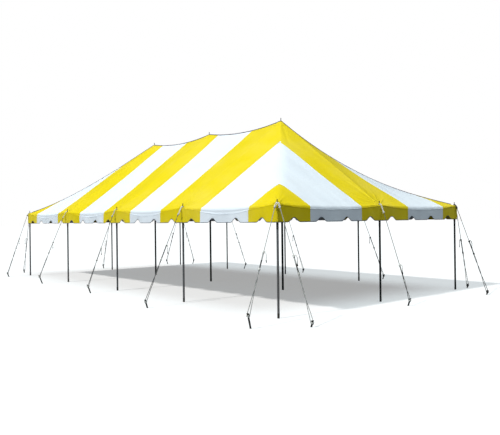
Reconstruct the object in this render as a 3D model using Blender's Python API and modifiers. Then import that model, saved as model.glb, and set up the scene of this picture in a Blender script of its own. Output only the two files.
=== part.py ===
"""Striped pole tent, 20 ft by 40 ft: a four-sloped canopy with a scalloped valance, held up
by fifteen poles and down by sixteen guys and their stakes. Metres, +Z up. The foot of the
middle centre pole is the origin, and the length of the tent lies along X."""
import math
from collections import namedtuple

import bmesh
import bpy
from mathutils import Matrix, Vector

# Plan: bays of ten feet, four along the length and two across
BAY = 3.048
HALF_LENGTH = 2 * BAY
HALF_WIDTH = BAY
EAVE_OVERHANG = 0.045

# Canopy heights, measured at the top of the cloth
PIN_HEIGHT = 2.10
PEAK_HEIGHT = 4.32
RIDGE_SAG = 0.125
EAVE_SAG = 0.025
FRONT_RIGHT_HIP_SAG = 0.18
FRONT_LEFT_HIP_SAG = 0.16
BACK_RIGHT_HIP_SAG = 0.34
BACK_LEFT_HIP_SAG = 0.20

# Cloth
CLOTH_THICKNESS = 0.008
VALANCE_THICKNESS = 0.006
VALANCE_DROP = 0.34
SCALLOPS_PER_BAY = 4
NOTCH_WIDTH = 0.325
NOTCH_DEPTH = 0.088
NOTCH_STEPS = 8
STRIPES_PER_BAY = 2
CELLS_PER_BAY = 8
SEAM_SETBACK = 0.0002
SEWN_GAP = 0.0003

# Poles
SIDE_POLE_DIAMETER = 0.046
CENTRE_POLE_DIAMETER = 0.056
PIN_DIAMETER = 0.014
SIDE_PIN_RISE = 0.085
CENTRE_PIN_RISE = 0.080
PIN_TIP_BEVEL = 0.003
PIN_HOLE_CLEARANCE = 0.003
POLE_SIDES = 14

# Guys: a loop on the pin, a rope, a tightener, and a doubled rope round the stake
ROPE_DIAMETER = 0.013
LOOP_LIFT = 0.003
LOOP_LEAD = 0.005
EAVE_CLEARANCE = 0.0015
TIGHTENER_DIAMETER = 0.026
TIGHTENER_LENGTH = 0.15
ROPE_BEVEL_STEPS = 1
LOOP_SIDES = 12
LOOP_TUBE_SIDES = 6

# Stakes, from the ground up
STAKE_DIAMETER = 0.030
STAKE_HEAD_DIAMETER = 0.040
STAKE_HEAD_HEIGHT = 0.014
STAKE_LEAN = math.radians(20)
TIE_DROP = 0.045
STAKE_SIDES = 10

TOUCH_GAP = 0.0003

PEAK_X = HALF_LENGTH - HALF_WIDTH
CELL = BAY / CELLS_PER_BAY
EAVE_RUN = HALF_WIDTH + EAVE_OVERHANG
HEM_HEIGHT = PIN_HEIGHT - VALANCE_DROP
ROPE_RADIUS = ROPE_DIAMETER / 2

# Where each stake enters the ground, as how far out from its pole and how far along, then
# how high it stands, and where on the way down its guy's tightener begins
Guy = namedtuple("Guy", "name pull reach drift stake_height tightener_place")
Support = namedtuple("Support", "name x y guys")

FRONT = Vector((0, -1))
BACK = Vector((0, 1))
LEFT = Vector((-1, 0))
RIGHT = Vector((1, 0))

SIDE_SUPPORTS = (
    Support("front_left_corner", -HALF_LENGTH, -HALF_WIDTH, (
        Guy("front_left_corner_side", FRONT, 0.70, -0.04, 0.15, 0.50),
        Guy("front_left_corner_end", LEFT, 1.27, 0.25, 0.11, 0.50))),
    Support("front_left", -BAY, -HALF_WIDTH, (
        Guy("front_left", FRONT, 0.74, -0.13, 0.25, 0.55),)),
    Support("front_middle", 0, -HALF_WIDTH, (
        Guy("front_middle", FRONT, 0.76, 0.01, 0.22, 0.58),)),
    Support("front_right", BAY, -HALF_WIDTH, (
        Guy("front_right", FRONT, 1.05, 0.20, 0.18, 0.49),)),
    Support("front_right_corner", HALF_LENGTH, -HALF_WIDTH, (
        Guy("front_right_corner_side", FRONT, 1.03, 0.41, 0.27, 0.53),
        Guy("front_right_corner_end", RIGHT, 1.02, -0.21, 0.12, 0.53))),
    Support("right_end", HALF_LENGTH, 0, (
        Guy("right_end", RIGHT, 0.76, -0.09, 0.16, 0.72),)),
    Support("back_right_corner", HALF_LENGTH, HALF_WIDTH, (
        Guy("back_right_corner_side", BACK, 0.52, 0.03, 0.10, 0.50),
        Guy("back_right_corner_end", RIGHT, 1.03, -0.40, 0.11, 0.50))),
    Support("back_right", BAY, HALF_WIDTH, (
        Guy("back_right", BACK, 0.85, 0.21, 0.14, 0.50),)),
    Support("back_middle", 0, HALF_WIDTH, (
        Guy("back_middle", BACK, 0.82, 0.00, 0.13, 0.50),)),
    Support("back_left", -BAY, HALF_WIDTH, (
        Guy("back_left", BACK, 0.43, 0.44, 0.22, 0.50),)),
    Support("back_left_corner", -HALF_LENGTH, HALF_WIDTH, (
        Guy("back_left_corner_side", BACK, 0.59, 0.02, 0.19, 0.50),
        Guy("back_left_corner_end", LEFT, 0.70, -0.16, 0.19, 0.50))),
    Support("left_end", -HALF_LENGTH, 0, (
        Guy("left_end", LEFT, 0.76, 0.04, 0.15, 0.60),)),
)
CENTRE_SUPPORTS = (
    Support("left", -PEAK_X, 0, ()),
    Support("middle", 0, 0, ()),
    Support("right", PEAK_X, 0, ()),
)
SLOPES = (("front", FRONT), ("back", BACK), ("left_end", LEFT), ("right_end", RIGHT))


def clear_scene():
    """Remove whatever the scene holds."""
    for obj in list(bpy.data.objects):
        bpy.data.objects.remove(obj, do_unlink=True)


def new_collection(name):
    """A collection linked to the scene."""
    collection = bpy.data.collections.new(name)
    bpy.context.scene.collection.children.link(collection)
    return collection


def new_material(name, color, roughness, metallic=0.0):
    """A plain Principled material."""
    material = bpy.data.materials.new(name)
    material.use_nodes = True
    shader = material.node_tree.nodes["Principled BSDF"]
    shader.inputs["Base Color"].default_value = (*color, 1)
    shader.inputs["Roughness"].default_value = roughness
    shader.inputs["Metallic"].default_value = metallic
    material.diffuse_color = (*color, 1)
    return material


def mesh_object(name, bm, collection, *materials):
    """An object from a bmesh, which is freed."""
    mesh = bpy.data.meshes.new(name)
    bm.to_mesh(mesh)
    bm.free()
    for material in materials:
        mesh.materials.append(material)
    obj = bpy.data.objects.new(name, mesh)
    collection.objects.link(obj)
    return obj


def evaluated_mesh(obj):
    """The mesh of an object with its modifiers or its curve bevel applied."""
    graph = bpy.context.evaluated_depsgraph_get()
    return bpy.data.meshes.new_from_object(obj.evaluated_get(graph))


def fuse(name, pieces, collection, material):
    """One solid from closed pieces that run into each other."""
    body = pieces[0]
    for piece in pieces[1:]:
        join = body.modifiers.new("join", "BOOLEAN")
        join.operation = "UNION"
        join.solver = "EXACT"
        join.object = piece
    bpy.context.view_layer.update()
    mesh = evaluated_mesh(body)
    mesh.name = name
    mesh.materials.clear()
    mesh.materials.append(material)
    for piece in pieces:
        bpy.data.objects.remove(piece, do_unlink=True)
    obj = bpy.data.objects.new(name, mesh)
    collection.objects.link(obj)
    return obj


# Shape of the canopy
def hung(share):
    """A parabola that is 0 at both ends of a span and 1 halfway."""
    return 4 * share * (1 - share)


def hip_sag(x, y):
    """How far the hip on this quarter of the plan sags. The four are pulled unevenly taut."""
    if x > 0:
        return FRONT_RIGHT_HIP_SAG if y < 0 else BACK_RIGHT_HIP_SAG
    return FRONT_LEFT_HIP_SAG if y < 0 else BACK_LEFT_HIP_SAG


def roof_height(x, y):
    """Height of the top of the cloth. Pole lines run straight down from the peaks to the pins,
    hips sag on their way to the corners, and the cloth hangs in a parabola from one to the next.
    Past the pins it lies level out to the eave."""
    past_peak = abs(x) - PEAK_X
    across = abs(y)
    run = max(across, past_peak)
    fall = min(run / HALF_WIDTH, 1)
    pole_line = PEAK_HEIGHT - (PEAK_HEIGHT - PIN_HEIGHT) * fall
    if past_peak <= 0:
        sag = RIDGE_SAG * (1 - fall) + EAVE_SAG * fall
        return pole_line - hung((x / BAY) % 1) * sag
    place = min(across, past_peak) / run
    return pole_line - place * hung(fall) * hip_sag(x, y) - hung(place) * EAVE_SAG * fall


def rim_heights(x, y, radius):
    """Heights of the cloth round a circle in plan."""
    turns = [math.tau * step / 16 for step in range(16)]
    return [roof_height(x + radius * math.cos(a), y + radius * math.sin(a)) for a in turns]


def shoulder_height(x, y, diameter):
    """Height of a flat pole top that just carries the cloth."""
    return min(rim_heights(x, y, diameter / 2)) - CLOTH_THICKNESS - TOUCH_GAP


def cells_in(half_run):
    """Number of cells of the cloth's grid from the middle of the tent to its outer poles."""
    return round(half_run / CELL)


def station(index, half_run):
    """Plan coordinate of a grid line. The outermost line is the eave, past the last pole."""
    if abs(index) > cells_in(half_run):
        return math.copysign(half_run + EAVE_OVERHANG, index)
    return index * CELL


def stripe_slot(face, slope):
    """0 for a yellow panel and 1 for a white one. Stripes run up each slope from its eave."""
    middle = face.calc_center_median()
    along = middle.x if slope.y else middle.y
    return round(along * STRIPES_PER_BAY / BAY) % 2


def canopy_slope(name, slope, pin_holes, collection, materials):
    """One sloping side of the canopy, drawn back a little from its ridge and hip seams."""
    bm = bmesh.new()
    columns = cells_in(HALF_LENGTH) + 1
    rows = cells_in(HALF_WIDTH) + 1
    bmesh.ops.create_grid(bm, x_segments=2 * columns, y_segments=2 * rows, size=1)
    for vert in bm.verts:
        vert.co.x = station(round(vert.co.x * columns), HALF_LENGTH)
        vert.co.y = station(round(vert.co.y * rows), HALF_WIDTH)
    if slope.y:
        seams = [((0, 0), (0, -slope.y))]
        seams += [((side * PEAK_X, 0), (side, -slope.y)) for side in (-1, 1)]
    else:
        seams = [((slope.x * PEAK_X, 0), (-slope.x, side)) for side in (-1, 1)]
    for point, outward in seams:
        geometry = bm.verts[:] + bm.edges[:] + bm.faces[:]
        bmesh.ops.bisect_plane(bm, geom=geometry, dist=1e-5, plane_co=(*point, 0),
                               plane_no=(*outward, 0), clear_outer=True)
        for vert in bm.verts:
            offset = Vector((vert.co.x - point[0], vert.co.y - point[1]))
            if abs(offset.dot(outward)) < SEAM_SETBACK / 4:
                vert.tag = True
    for vert in bm.verts:
        if vert.tag:
            vert.co.x += slope.x * SEAM_SETBACK
            vert.co.y += slope.y * SEAM_SETBACK
        vert.co.z = roof_height(vert.co.x, vert.co.y)
    for face in bm.faces:
        face.material_index = stripe_slot(face, slope)
    extruded = bmesh.ops.extrude_face_region(bm, geom=bm.faces[:], use_keep_orig=True)
    lower = [item for item in extruded["geom"] if isinstance(item, bmesh.types.BMVert)]
    bmesh.ops.translate(bm, verts=lower, vec=(0, 0, -CLOTH_THICKNESS))
    bmesh.ops.recalc_face_normals(bm, faces=bm.faces[:])
    obj = mesh_object(name, bm, collection, *materials)
    cut = obj.modifiers.new("pin_holes", "BOOLEAN")
    cut.operation = "DIFFERENCE"
    cut.solver = "EXACT"
    cut.object = pin_holes
    return obj


def pin_hole_cutter(collection):
    """Upright drills through the cloth at every pin."""
    bm = bmesh.new()
    radius = PIN_DIAMETER / 2 + PIN_HOLE_CLEARANCE
    for support in SIDE_SUPPORTS + CENTRE_SUPPORTS:
        height = roof_height(support.x, support.y)
        bmesh.ops.create_cone(bm, cap_ends=True, segments=POLE_SIDES, radius1=radius,
                              radius2=radius, depth=4 * radius + 4 * CLOTH_THICKNESS,
                              matrix=Matrix.Translation((support.x, support.y, height)))
    cutter = mesh_object("pin_hole_drills", bm, collection)
    cutter.hide_render = True
    cutter.display_type = "WIRE"
    return cutter


# Valance
def scalloped_hem(half_width, half_run):
    """Points of the bottom edge from left to right: flat lobes with bell-shaped notches."""
    pitch = BAY / SCALLOPS_PER_BAY
    points = [(-half_width, HEM_HEIGHT)]
    for index in range(round(2 * half_run / pitch)):
        middle = (index + 0.5) * pitch - half_run
        for step in range(NOTCH_STEPS + 1):
            share = 2 * step / NOTCH_STEPS - 1
            rise = NOTCH_DEPTH * (1 + math.cos(math.pi * share)) / 2
            points.append((middle + share * NOTCH_WIDTH / 2, HEM_HEIGHT + rise))
    points.append((half_width, HEM_HEIGHT))
    return points


def sewn_edge(half_width, half_run, height_at):
    """Points of the top edge from right to left, just under the edge of the canopy."""
    last = cells_in(half_run) + 1
    points = []
    for index in range(last, -last - 1, -1):
        place = max(-half_width, min(half_width, station(index, half_run)))
        points.append((place, height_at(place) - CLOTH_THICKNESS - SEWN_GAP))
    return points


def valance(name, slope, collection, material):
    """The upright strip of cloth sewn under one eave."""
    inset = VALANCE_THICKNESS / 2
    if slope.y:
        half_run = HALF_LENGTH
        half_width = HALF_LENGTH + EAVE_OVERHANG
        height_at = lambda place: roof_height(place, EAVE_RUN)
        middle = Vector((0, slope.y * (EAVE_RUN - inset), 0))
        turn = 0.0
    else:
        half_run = HALF_WIDTH
        half_width = EAVE_RUN - VALANCE_THICKNESS - SEWN_GAP
        height_at = lambda place: roof_height(HALF_LENGTH + EAVE_OVERHANG, place)
        middle = Vector((slope.x * (HALF_LENGTH + EAVE_OVERHANG - inset), 0, 0))
        turn = math.pi / 2
    outline = scalloped_hem(half_width, half_run)
    outline += sewn_edge(half_width, half_run, height_at)
    curve = bpy.data.curves.new(name, "CURVE")
    curve.dimensions = "2D"
    curve.fill_mode = "BOTH"
    curve.extrude = inset
    spline = curve.splines.new("POLY")
    spline.points.add(len(outline[1:]))
    for point, (along, height) in zip(spline.points, outline):
        point.co = (along, height, 0, 1)
    spline.use_cyclic_u = True
    curve.materials.append(material)
    obj = bpy.data.objects.new(name, curve)
    obj.location = middle
    obj.rotation_euler = (math.pi / 2, 0, turn)
    collection.objects.link(obj)
    return obj


# Poles and stakes
def turned(name, profile, sides, collection, material):
    """A solid turned about Z from a profile that runs down its outer side."""
    bm = bmesh.new()
    verts = [bm.verts.new((radius, 0, height)) for radius, height in profile]
    for upper, lower in zip(verts, verts[1:]):
        bm.edges.new((upper, lower))
    obj = mesh_object(name, bm, collection, material)
    screw = obj.modifiers.new("turn", "SCREW")
    screw.steps = sides
    screw.render_steps = sides
    screw.use_merge_vertices = True
    screw.merge_threshold = 0.00001
    return obj


def pole(name, support, diameter, pin_rise, collection, material):
    """A round pole from the ground to the cloth, with the pin that goes through the cloth."""
    shoulder = shoulder_height(support.x, support.y, diameter)
    tip = roof_height(support.x, support.y) + pin_rise
    radius = diameter / 2
    pin = PIN_DIAMETER / 2
    profile = [(0, tip), (pin - PIN_TIP_BEVEL, tip), (pin, tip - PIN_TIP_BEVEL),
               (pin, shoulder), (radius, shoulder), (radius, 0), (0, 0)]
    obj = turned(name, profile, POLE_SIDES, collection, material)
    obj.location = (support.x, support.y, 0)
    return obj


def plan_line(support, guy):
    """Where a stake enters the ground, and the plan direction from its pole to it."""
    along = Vector((abs(guy.pull.y), abs(guy.pull.x)))
    foot = Vector((support.x, support.y)) + guy.pull * guy.reach + along * guy.drift
    return foot, (foot - Vector((support.x, support.y))).normalized()


def stake(guy, support, collection, material):
    """A steel stake whose head leans away from the tent, cut off level with the ground."""
    foot, away = plan_line(support, guy)
    radius = STAKE_DIAMETER / 2
    top = guy.stake_height
    neck = top - STAKE_HEAD_HEIGHT
    head = STAKE_HEAD_DIAMETER / 2
    profile = [(0, top), (head, top), (head, neck), (radius, neck), (radius, 0), (0, 0)]
    obj = turned("stake_" + guy.name, profile, STAKE_SIDES, collection, material)
    obj.data = evaluated_mesh(obj)
    obj.modifiers.clear()
    lean = Matrix.Identity(4)
    lean[0][2] = away.x * math.tan(STAKE_LEAN)
    lean[1][2] = away.y * math.tan(STAKE_LEAN)
    obj.data.transform(lean)
    obj.location = (*foot, 0)
    return obj


# Guys
def rope(points, collection):
    """A straight-sided run of rope through the points, as a closed mesh."""
    curve = bpy.data.curves.new("rope", "CURVE")
    curve.dimensions = "3D"
    curve.bevel_depth = ROPE_RADIUS
    curve.bevel_resolution = ROPE_BEVEL_STEPS
    curve.use_fill_caps = True
    spline = curve.splines.new("POLY")
    spline.points.add(len(points[1:]))
    for point, place in zip(spline.points, points):
        point.co = (*place, 1)
    guide = bpy.data.objects.new("rope", curve)
    collection.objects.link(guide)
    bpy.context.view_layer.update()
    mesh = evaluated_mesh(guide)
    bpy.data.objects.remove(guide, do_unlink=True)
    bm = bmesh.new()
    bm.from_mesh(mesh)
    bmesh.ops.remove_doubles(bm, verts=bm.verts[:], dist=0.00001)
    bmesh.ops.recalc_face_normals(bm, faces=bm.faces[:])
    return mesh_object("rope", bm, collection)


def rope_loop(middle, radius, away, collection):
    """A level ring of rope, with a corner of its polygon pointing away from the tent."""
    bpy.ops.mesh.primitive_torus_add(major_segments=LOOP_SIDES, minor_segments=LOOP_TUBE_SIDES,
                                     major_radius=radius, minor_radius=ROPE_RADIUS,
                                     location=middle,
                                     rotation=(0, 0, math.atan2(away.y, away.x)))
    obj = bpy.context.object
    for holder in list(obj.users_collection):
        holder.objects.unlink(obj)
    collection.objects.link(obj)
    return obj


def rod(start, end, diameter, sides, collection):
    """A straight round bar between two points."""
    run = end - start
    bm = bmesh.new()
    place = Matrix.Translation((start + end) / 2) @ run.to_track_quat("Z", "Y").to_matrix().to_4x4()
    bmesh.ops.create_cone(bm, cap_ends=True, segments=sides, radius1=diameter / 2,
                          radius2=diameter / 2, depth=run.length, matrix=place)
    return mesh_object("rod", bm, collection)


def guy_line(guy, support, place_on_pin, collection, material):
    """A guy made fast from the pin to the stake: the loop on the pin, the rope over the eave,
    the tightener and the doubled rope that goes round the stake."""
    foot, away = plan_line(support, guy)
    outward = Vector((*away, 0))
    sideways = Vector((-away.y, away.x, 0))
    pin = Vector((support.x, support.y, 0))
    loop_radius = PIN_DIAMETER / 2 + TOUCH_GAP + ROPE_RADIUS
    slant = math.hypot(1, (PEAK_HEIGHT - PIN_HEIGHT) / HALF_WIDTH)
    loop_height = max(rim_heights(support.x, support.y, loop_radius + ROPE_RADIUS))
    loop_height += ROPE_RADIUS * slant + LOOP_LIFT
    loop_height += place_on_pin * (ROPE_DIAMETER + TOUCH_GAP)
    loop = pin + Vector((0, 0, loop_height))

    edge_reach = EAVE_OVERHANG / away.dot(guy.pull)
    edge = pin + outward * edge_reach
    edge.z = roof_height(edge.x, edge.y)
    lean = math.tan(STAKE_LEAN)
    tie_height = guy.stake_height - TIE_DROP
    tie = Vector((*foot, 0)) + outward * lean * tie_height
    tie.z = tie_height
    down = (tie - edge).normalized()
    along_eave = Vector((guy.pull.y, guy.pull.x, 0))
    clear_of_edge = down.cross(along_eave).normalized()
    if clear_of_edge.z < 0:
        clear_of_edge.negate()
    bend = edge + clear_of_edge * (ROPE_RADIUS + EAVE_CLEARANCE)
    lead_end = loop + outward * (loop_radius + ROPE_DIAMETER + LOOP_LEAD)

    pull = (tie - bend).normalized()
    tightener_top = bend.lerp(tie, guy.tightener_place)
    tightener_end = tightener_top + pull * TIGHTENER_LENGTH
    tie_radius = STAKE_DIAMETER / 2 + TOUCH_GAP + ROPE_RADIUS * math.hypot(1, lean)
    strand_spread = TIGHTENER_DIAMETER / 4
    pieces = [
        rope([loop + outward * loop_radius, lead_end, bend, tightener_top + pull * ROPE_DIAMETER],
             collection),
        rope_loop(loop, loop_radius, away, collection),
        rod(tightener_top, tightener_end, TIGHTENER_DIAMETER, LOOP_TUBE_SIDES + 2, collection),
        rope_loop(tie, tie_radius, away, collection),
    ]
    for side in (-1, 1):
        start = tightener_end - pull * ROPE_DIAMETER + sideways * side * strand_spread
        pieces.append(rope([start, tie + sideways * side * tie_radius], collection))
    return fuse("guy_" + guy.name, pieces, collection, material)


def main():
    clear_scene()
    tent = new_collection("marquee_tent")
    cutters = new_collection("cutters")
    yellow = new_material("yellow_vinyl", (0.93, 0.78, 0.02), 0.45)
    white = new_material("white_vinyl", (0.86, 0.90, 0.94), 0.45)
    steel = new_material("galvanised_steel", (0.30, 0.31, 0.33), 0.45, 0.9)
    dark_steel = new_material("dark_steel", (0.03, 0.03, 0.035), 0.5, 0.8)
    cord = new_material("white_rope", (0.80, 0.80, 0.76), 0.8)

    pin_holes = pin_hole_cutter(cutters)
    for name, slope in SLOPES:
        canopy_slope("canopy_" + name, slope, pin_holes, tent, (yellow, white))
        valance("valance_" + name, slope, tent, white)
    for support in SIDE_SUPPORTS:
        pole("side_pole_" + support.name, support, SIDE_POLE_DIAMETER, SIDE_PIN_RISE, tent, steel)
        for place_on_pin, guy in enumerate(support.guys):
            guy_line(guy, support, place_on_pin, tent, cord)
            stake(guy, support, tent, dark_steel)
    for support in CENTRE_SUPPORTS:
        pole("centre_pole_" + support.name, support, CENTRE_POLE_DIAMETER, CENTRE_PIN_RISE, tent,
             steel)


main()
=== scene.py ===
"""Looks of a striped pole tent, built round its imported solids.

The cloth, valance, poles, stakes and guys are worked out as numpy surfaces from the sizes
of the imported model, and each takes a procedural finish. Metres, +Z up, the row's frame.
"""

import logging
import math
from dataclasses import dataclass
from enum import Enum
from typing import Any, Callable, Iterable, Optional, Sequence

import bmesh
import bpy
import numpy as np
from mathutils import Matrix, Vector


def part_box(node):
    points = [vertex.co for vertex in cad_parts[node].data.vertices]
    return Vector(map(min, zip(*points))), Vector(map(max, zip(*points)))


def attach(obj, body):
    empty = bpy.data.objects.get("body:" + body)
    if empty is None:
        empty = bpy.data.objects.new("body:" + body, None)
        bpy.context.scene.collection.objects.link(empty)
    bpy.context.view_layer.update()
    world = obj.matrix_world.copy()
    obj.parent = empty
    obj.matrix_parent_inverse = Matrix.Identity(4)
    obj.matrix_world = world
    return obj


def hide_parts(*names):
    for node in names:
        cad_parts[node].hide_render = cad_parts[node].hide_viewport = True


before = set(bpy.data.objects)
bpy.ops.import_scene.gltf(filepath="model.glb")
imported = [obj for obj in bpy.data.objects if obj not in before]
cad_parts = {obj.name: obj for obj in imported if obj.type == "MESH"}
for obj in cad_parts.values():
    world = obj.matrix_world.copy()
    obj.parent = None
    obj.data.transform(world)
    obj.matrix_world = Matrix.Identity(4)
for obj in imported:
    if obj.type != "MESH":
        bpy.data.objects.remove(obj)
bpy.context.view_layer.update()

LOG = logging.getLogger("pole_tent")
Array = np.ndarray
UP = np.array([0.0, 0.0, 1.0])


class Side(Enum):
    """The four sides of the tent: which axis its eave runs along, and which way it faces."""

    FRONT = ("front", 0, -1)
    RIGHT_END = ("right_end", 1, 1)
    BACK = ("back", 0, 1)
    LEFT_END = ("left_end", 1, -1)

    @property
    def label(self) -> str:
        """The side's name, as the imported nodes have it."""
        return self.value[0]

    @property
    def along(self) -> int:
        """0 where the eave runs along X, 1 where it runs along Y."""
        return self.value[1]

    @property
    def facing(self) -> int:
        """The sign of the side's outward direction."""
        return self.value[2]

    @property
    def outward(self) -> Array:
        """The level unit vector that points out of the side."""
        return self.facing * np.array([self.along, 1 - self.along, 0.0])

    def plan_place(self, along: Array, out: Array) -> tuple:
        """X and Y of places along the side, at a distance out from the tent's middle."""
        away = self.facing * out
        return (away, along) if self.along else (along, away)

    def points(self, along: Array, out: Array, height: Array) -> Array:
        """Points at places along the side, at a distance out and at a height."""
        return np.stack(np.broadcast_arrays(*self.plan_place(along, out), height), axis=-1)


# Arrays


def hung(share: Array) -> Array:
    """A parabola that is 0 at both ends of a span and 1 halfway."""
    return 4 * share * (1 - share)


def smooth_step(share: Array) -> Array:
    """An S-shaped rise from 0 to 1, level at both ends."""
    held = np.clip(share, 0, 1)
    return held * held * (3 - 2 * held)


def unit(vectors: Array) -> Array:
    """The same vectors at length 1."""
    return vectors / np.maximum(np.linalg.norm(vectors, axis=-1, keepdims=True), 1e-12)


def spaced(start: float, stop: float, fine: float, coarse: float, reach: float) -> Array:
    """Places from start to stop, close together at both ends and wide in the middle.

    The wanted cell grows from fine to coarse as 1 - exp(-distance from the nearer end / reach),
    and the places are where the running sum of 1 / cell passes whole numbers.

    Args:
        start: The first place.
        stop: The last place.
        fine: The cell at both ends.
        coarse: The cell far from both ends.
        reach: How quickly the cell grows.

    Returns:
        The places, both ends among them.
    """
    places = np.linspace(start, stop, 600)
    nearest = np.minimum(places - start, stop - places)
    cell = fine + (coarse - fine) * (1 - np.exp(-nearest / reach))
    cells = np.concatenate([[0.0], np.cumsum(np.diff(places) / cell[1:])])
    return np.interp(np.linspace(0, cells[-1], round(cells[-1]) + 1), cells, places)


def smooth_path(points: Sequence, step: float, carried: Optional[Sequence] = None) -> tuple:
    """A Catmull-Rom curve through the points, read off at equal steps of its length.

    Between two points the curve is the cubic whose slope at each is half the chord between its
    neighbours. The first and last points are repeated beyond the ends.

    Args:
        points: The points to pass through.
        step: The wanted distance between the places read off.
        carried: Vectors, one a point, to spread over the curve in the same way.

    Returns:
        The places, and the carried vectors there or None.
    """
    knots = np.asarray(points, float)
    if carried is not None:
        knots = np.hstack([knots, np.asarray(carried, float)])
    padded = np.vstack([2 * knots[0] - knots[1], knots, 2 * knots[-1] - knots[-2]])
    share = np.linspace(0, 1, 24, endpoint=False)[None, :, None]
    before, here, after, beyond = (padded[k:len(padded) - 3 + k, None] for k in range(4))
    curve = 0.5 * (2 * here + (after - before) * share
                   + (2 * before - 5 * here + 4 * after - beyond) * share ** 2
                   + (3 * here - before - 3 * after + beyond) * share ** 3)
    curve = np.vstack([curve.reshape(-1, knots.shape[1]), knots[-1:]])
    gone = np.concatenate([[0.0], np.cumsum(np.linalg.norm(np.diff(curve[:, :3], axis=0), axis=1))])
    wanted = np.linspace(0, gone[-1], max(2, round(gone[-1] / step) + 1))
    read = np.stack([np.interp(wanted, gone, column) for column in curve.T], axis=1)
    return read[:, :3], (read[:, 3:] if carried is not None else None)


@dataclass
class Surface:
    """Points and four-sided faces of one surface, with a UV pair for each corner of a face.

    Attributes:
        points: An array of n points.
        faces: An array of m faces, each of four point numbers.
        uv: An array of m by 4 UV pairs.
        slots: The material slot of each face.
    """

    points: Array
    faces: Array
    uv: Array
    slots: Array

    @staticmethod
    def grid(points: Array, uv: Array, wrap: bool = False, slot: int = 0) -> "Surface":
        """A surface over a grid of points.

        Args:
            points: Rows by columns by 3.
            uv: Rows by columns by 2, with one column more where the grid wraps round.
            wrap: Whether the last column joins the first.
            slot: The material slot of all faces.

        Returns:
            The surface, whose faces run (row, column), (row, next), (next, next), (next, column).
        """
        rows, columns = points.shape[:2]
        row, column = np.meshgrid(np.arange(rows - 1), np.arange(columns if wrap else columns - 1),
                                  indexing="ij")
        row, column = row.ravel(), column.ravel()
        after = (column + 1) % columns
        faces = np.stack([row * columns + column, row * columns + after,
                          (row + 1) * columns + after, (row + 1) * columns + column], axis=1)
        corners = np.stack([uv[row, column], uv[row, column + 1], uv[row + 1, column + 1],
                            uv[row + 1, column]], axis=1)
        return Surface(points.reshape(-1, 3), faces, corners, np.full(len(faces), slot))

    @staticmethod
    def joined(parts: Iterable["Surface"]) -> "Surface":
        """All the parts as one surface.

        Args:
            parts: The surfaces to join.

        Returns:
            The one surface, with the parts' points and faces in their order.
        """
        parts = list(parts)
        starts = np.cumsum([0] + [len(part.points) for part in parts[:-1]])
        return Surface(np.vstack([part.points for part in parts]),
                       np.vstack([part.faces + start for part, start in zip(parts, starts)]),
                       np.vstack([part.uv for part in parts]),
                       np.concatenate([part.slots for part in parts]))

    def piece(self, name: str, smooth: float = 40.0, merge: float = 1e-5) -> bpy.types.Object:
        """A mesh object of the surface, with doubled points merged and faces turned outwards.

        Args:
            name: The object's name.
            smooth: Edges sharper than this angle, in degrees, stay sharp.
            merge: Points closer than this are merged.

        Returns:
            The object, at the origin.
        """
        mesh = bpy.data.meshes.new(name)
        mesh.vertices.add(len(self.points))
        mesh.vertices.foreach_set("co", self.points.astype(np.float32).ravel())
        mesh.loops.add(self.faces.size)
        mesh.loops.foreach_set("vertex_index", self.faces.astype(np.int32).ravel())
        mesh.polygons.add(len(self.faces))
        mesh.polygons.foreach_set("loop_start", np.arange(0, self.faces.size, 4, dtype=np.int32))
        mesh.polygons.foreach_set("material_index", self.slots.astype(np.int32))
        mesh.update(calc_edges=True)
        layer = mesh.uv_layers.new(name="cloth")
        layer.data.foreach_set("uv", self.uv.astype(np.float32).ravel())
        bm = bmesh.new()
        bm.from_mesh(mesh)
        bmesh.ops.remove_doubles(bm, verts=bm.verts[:], dist=merge)
        bmesh.ops.recalc_face_normals(bm, faces=bm.faces[:])
        bm.to_mesh(mesh)
        bm.free()
        mesh.shade_smooth()
        mesh.set_sharp_from_angle(angle=math.radians(smooth))
        obj = bpy.data.objects.new(name, mesh)
        bpy.context.scene.collection.objects.link(obj)
        return obj


def swept(path: Array, normals: Array, profile: Array, twist: float = 0.0, slot: int = 0,
          along: Optional[Array] = None, scale: Optional[Array] = None) -> Surface:
    """A closed profile carried along a path, with flat ends.

    At each place of the path the profile's first axis lies along normal cross tangent and its
    second along the normal, both turned by twist times the length so far. The ends close by
    shrinking the profile to a point.

    Args:
        path: n points.
        normals: n vectors, or one, that stand off the path; their part along it is taken out.
        profile: m points of the closed outline, in metres.
        twist: Turns of the profile for each metre of path.
        slot: The material slot.
        along: The UV's first value at each place of the path, or None for the length so far.
        scale: How much the profile is scaled at each place of the path, or None.

    Returns:
        The closed surface.
    """
    tangent = unit(np.gradient(path, axis=0))
    normal = np.broadcast_to(normals, path.shape)
    normal = unit(normal - tangent * np.sum(normal * tangent, axis=1, keepdims=True))
    sideways = np.cross(normal, tangent)
    gone = np.concatenate([[0.0], np.cumsum(np.linalg.norm(np.diff(path, axis=0), axis=1))])
    angle = math.tau * twist * gone
    cos, sin = np.cos(angle)[:, None], np.sin(angle)[:, None]
    across = sideways * cos + normal * sin
    upward = normal * cos - sideways * sin
    size = np.ones(len(path)) if scale is None else scale
    rings = (path[:, None] + size[:, None, None] * (across[:, None] * profile[None, :, :1]
                                                    + upward[:, None] * profile[None, :, 1:]))
    ends = [np.repeat(path[k][None, None], len(profile), axis=1) for k in (0, -1)]
    points = np.concatenate([ends[0], rings, ends[1]])
    first = gone if along is None else along
    first = np.concatenate([first[:1], first, first[-1:]])
    round_profile = np.linspace(0, 1, len(profile) + 1)
    uv = np.stack(np.broadcast_arrays(first[:, None], round_profile[None]), axis=-1)
    return Surface.grid(points, uv, wrap=True, slot=slot)


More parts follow.
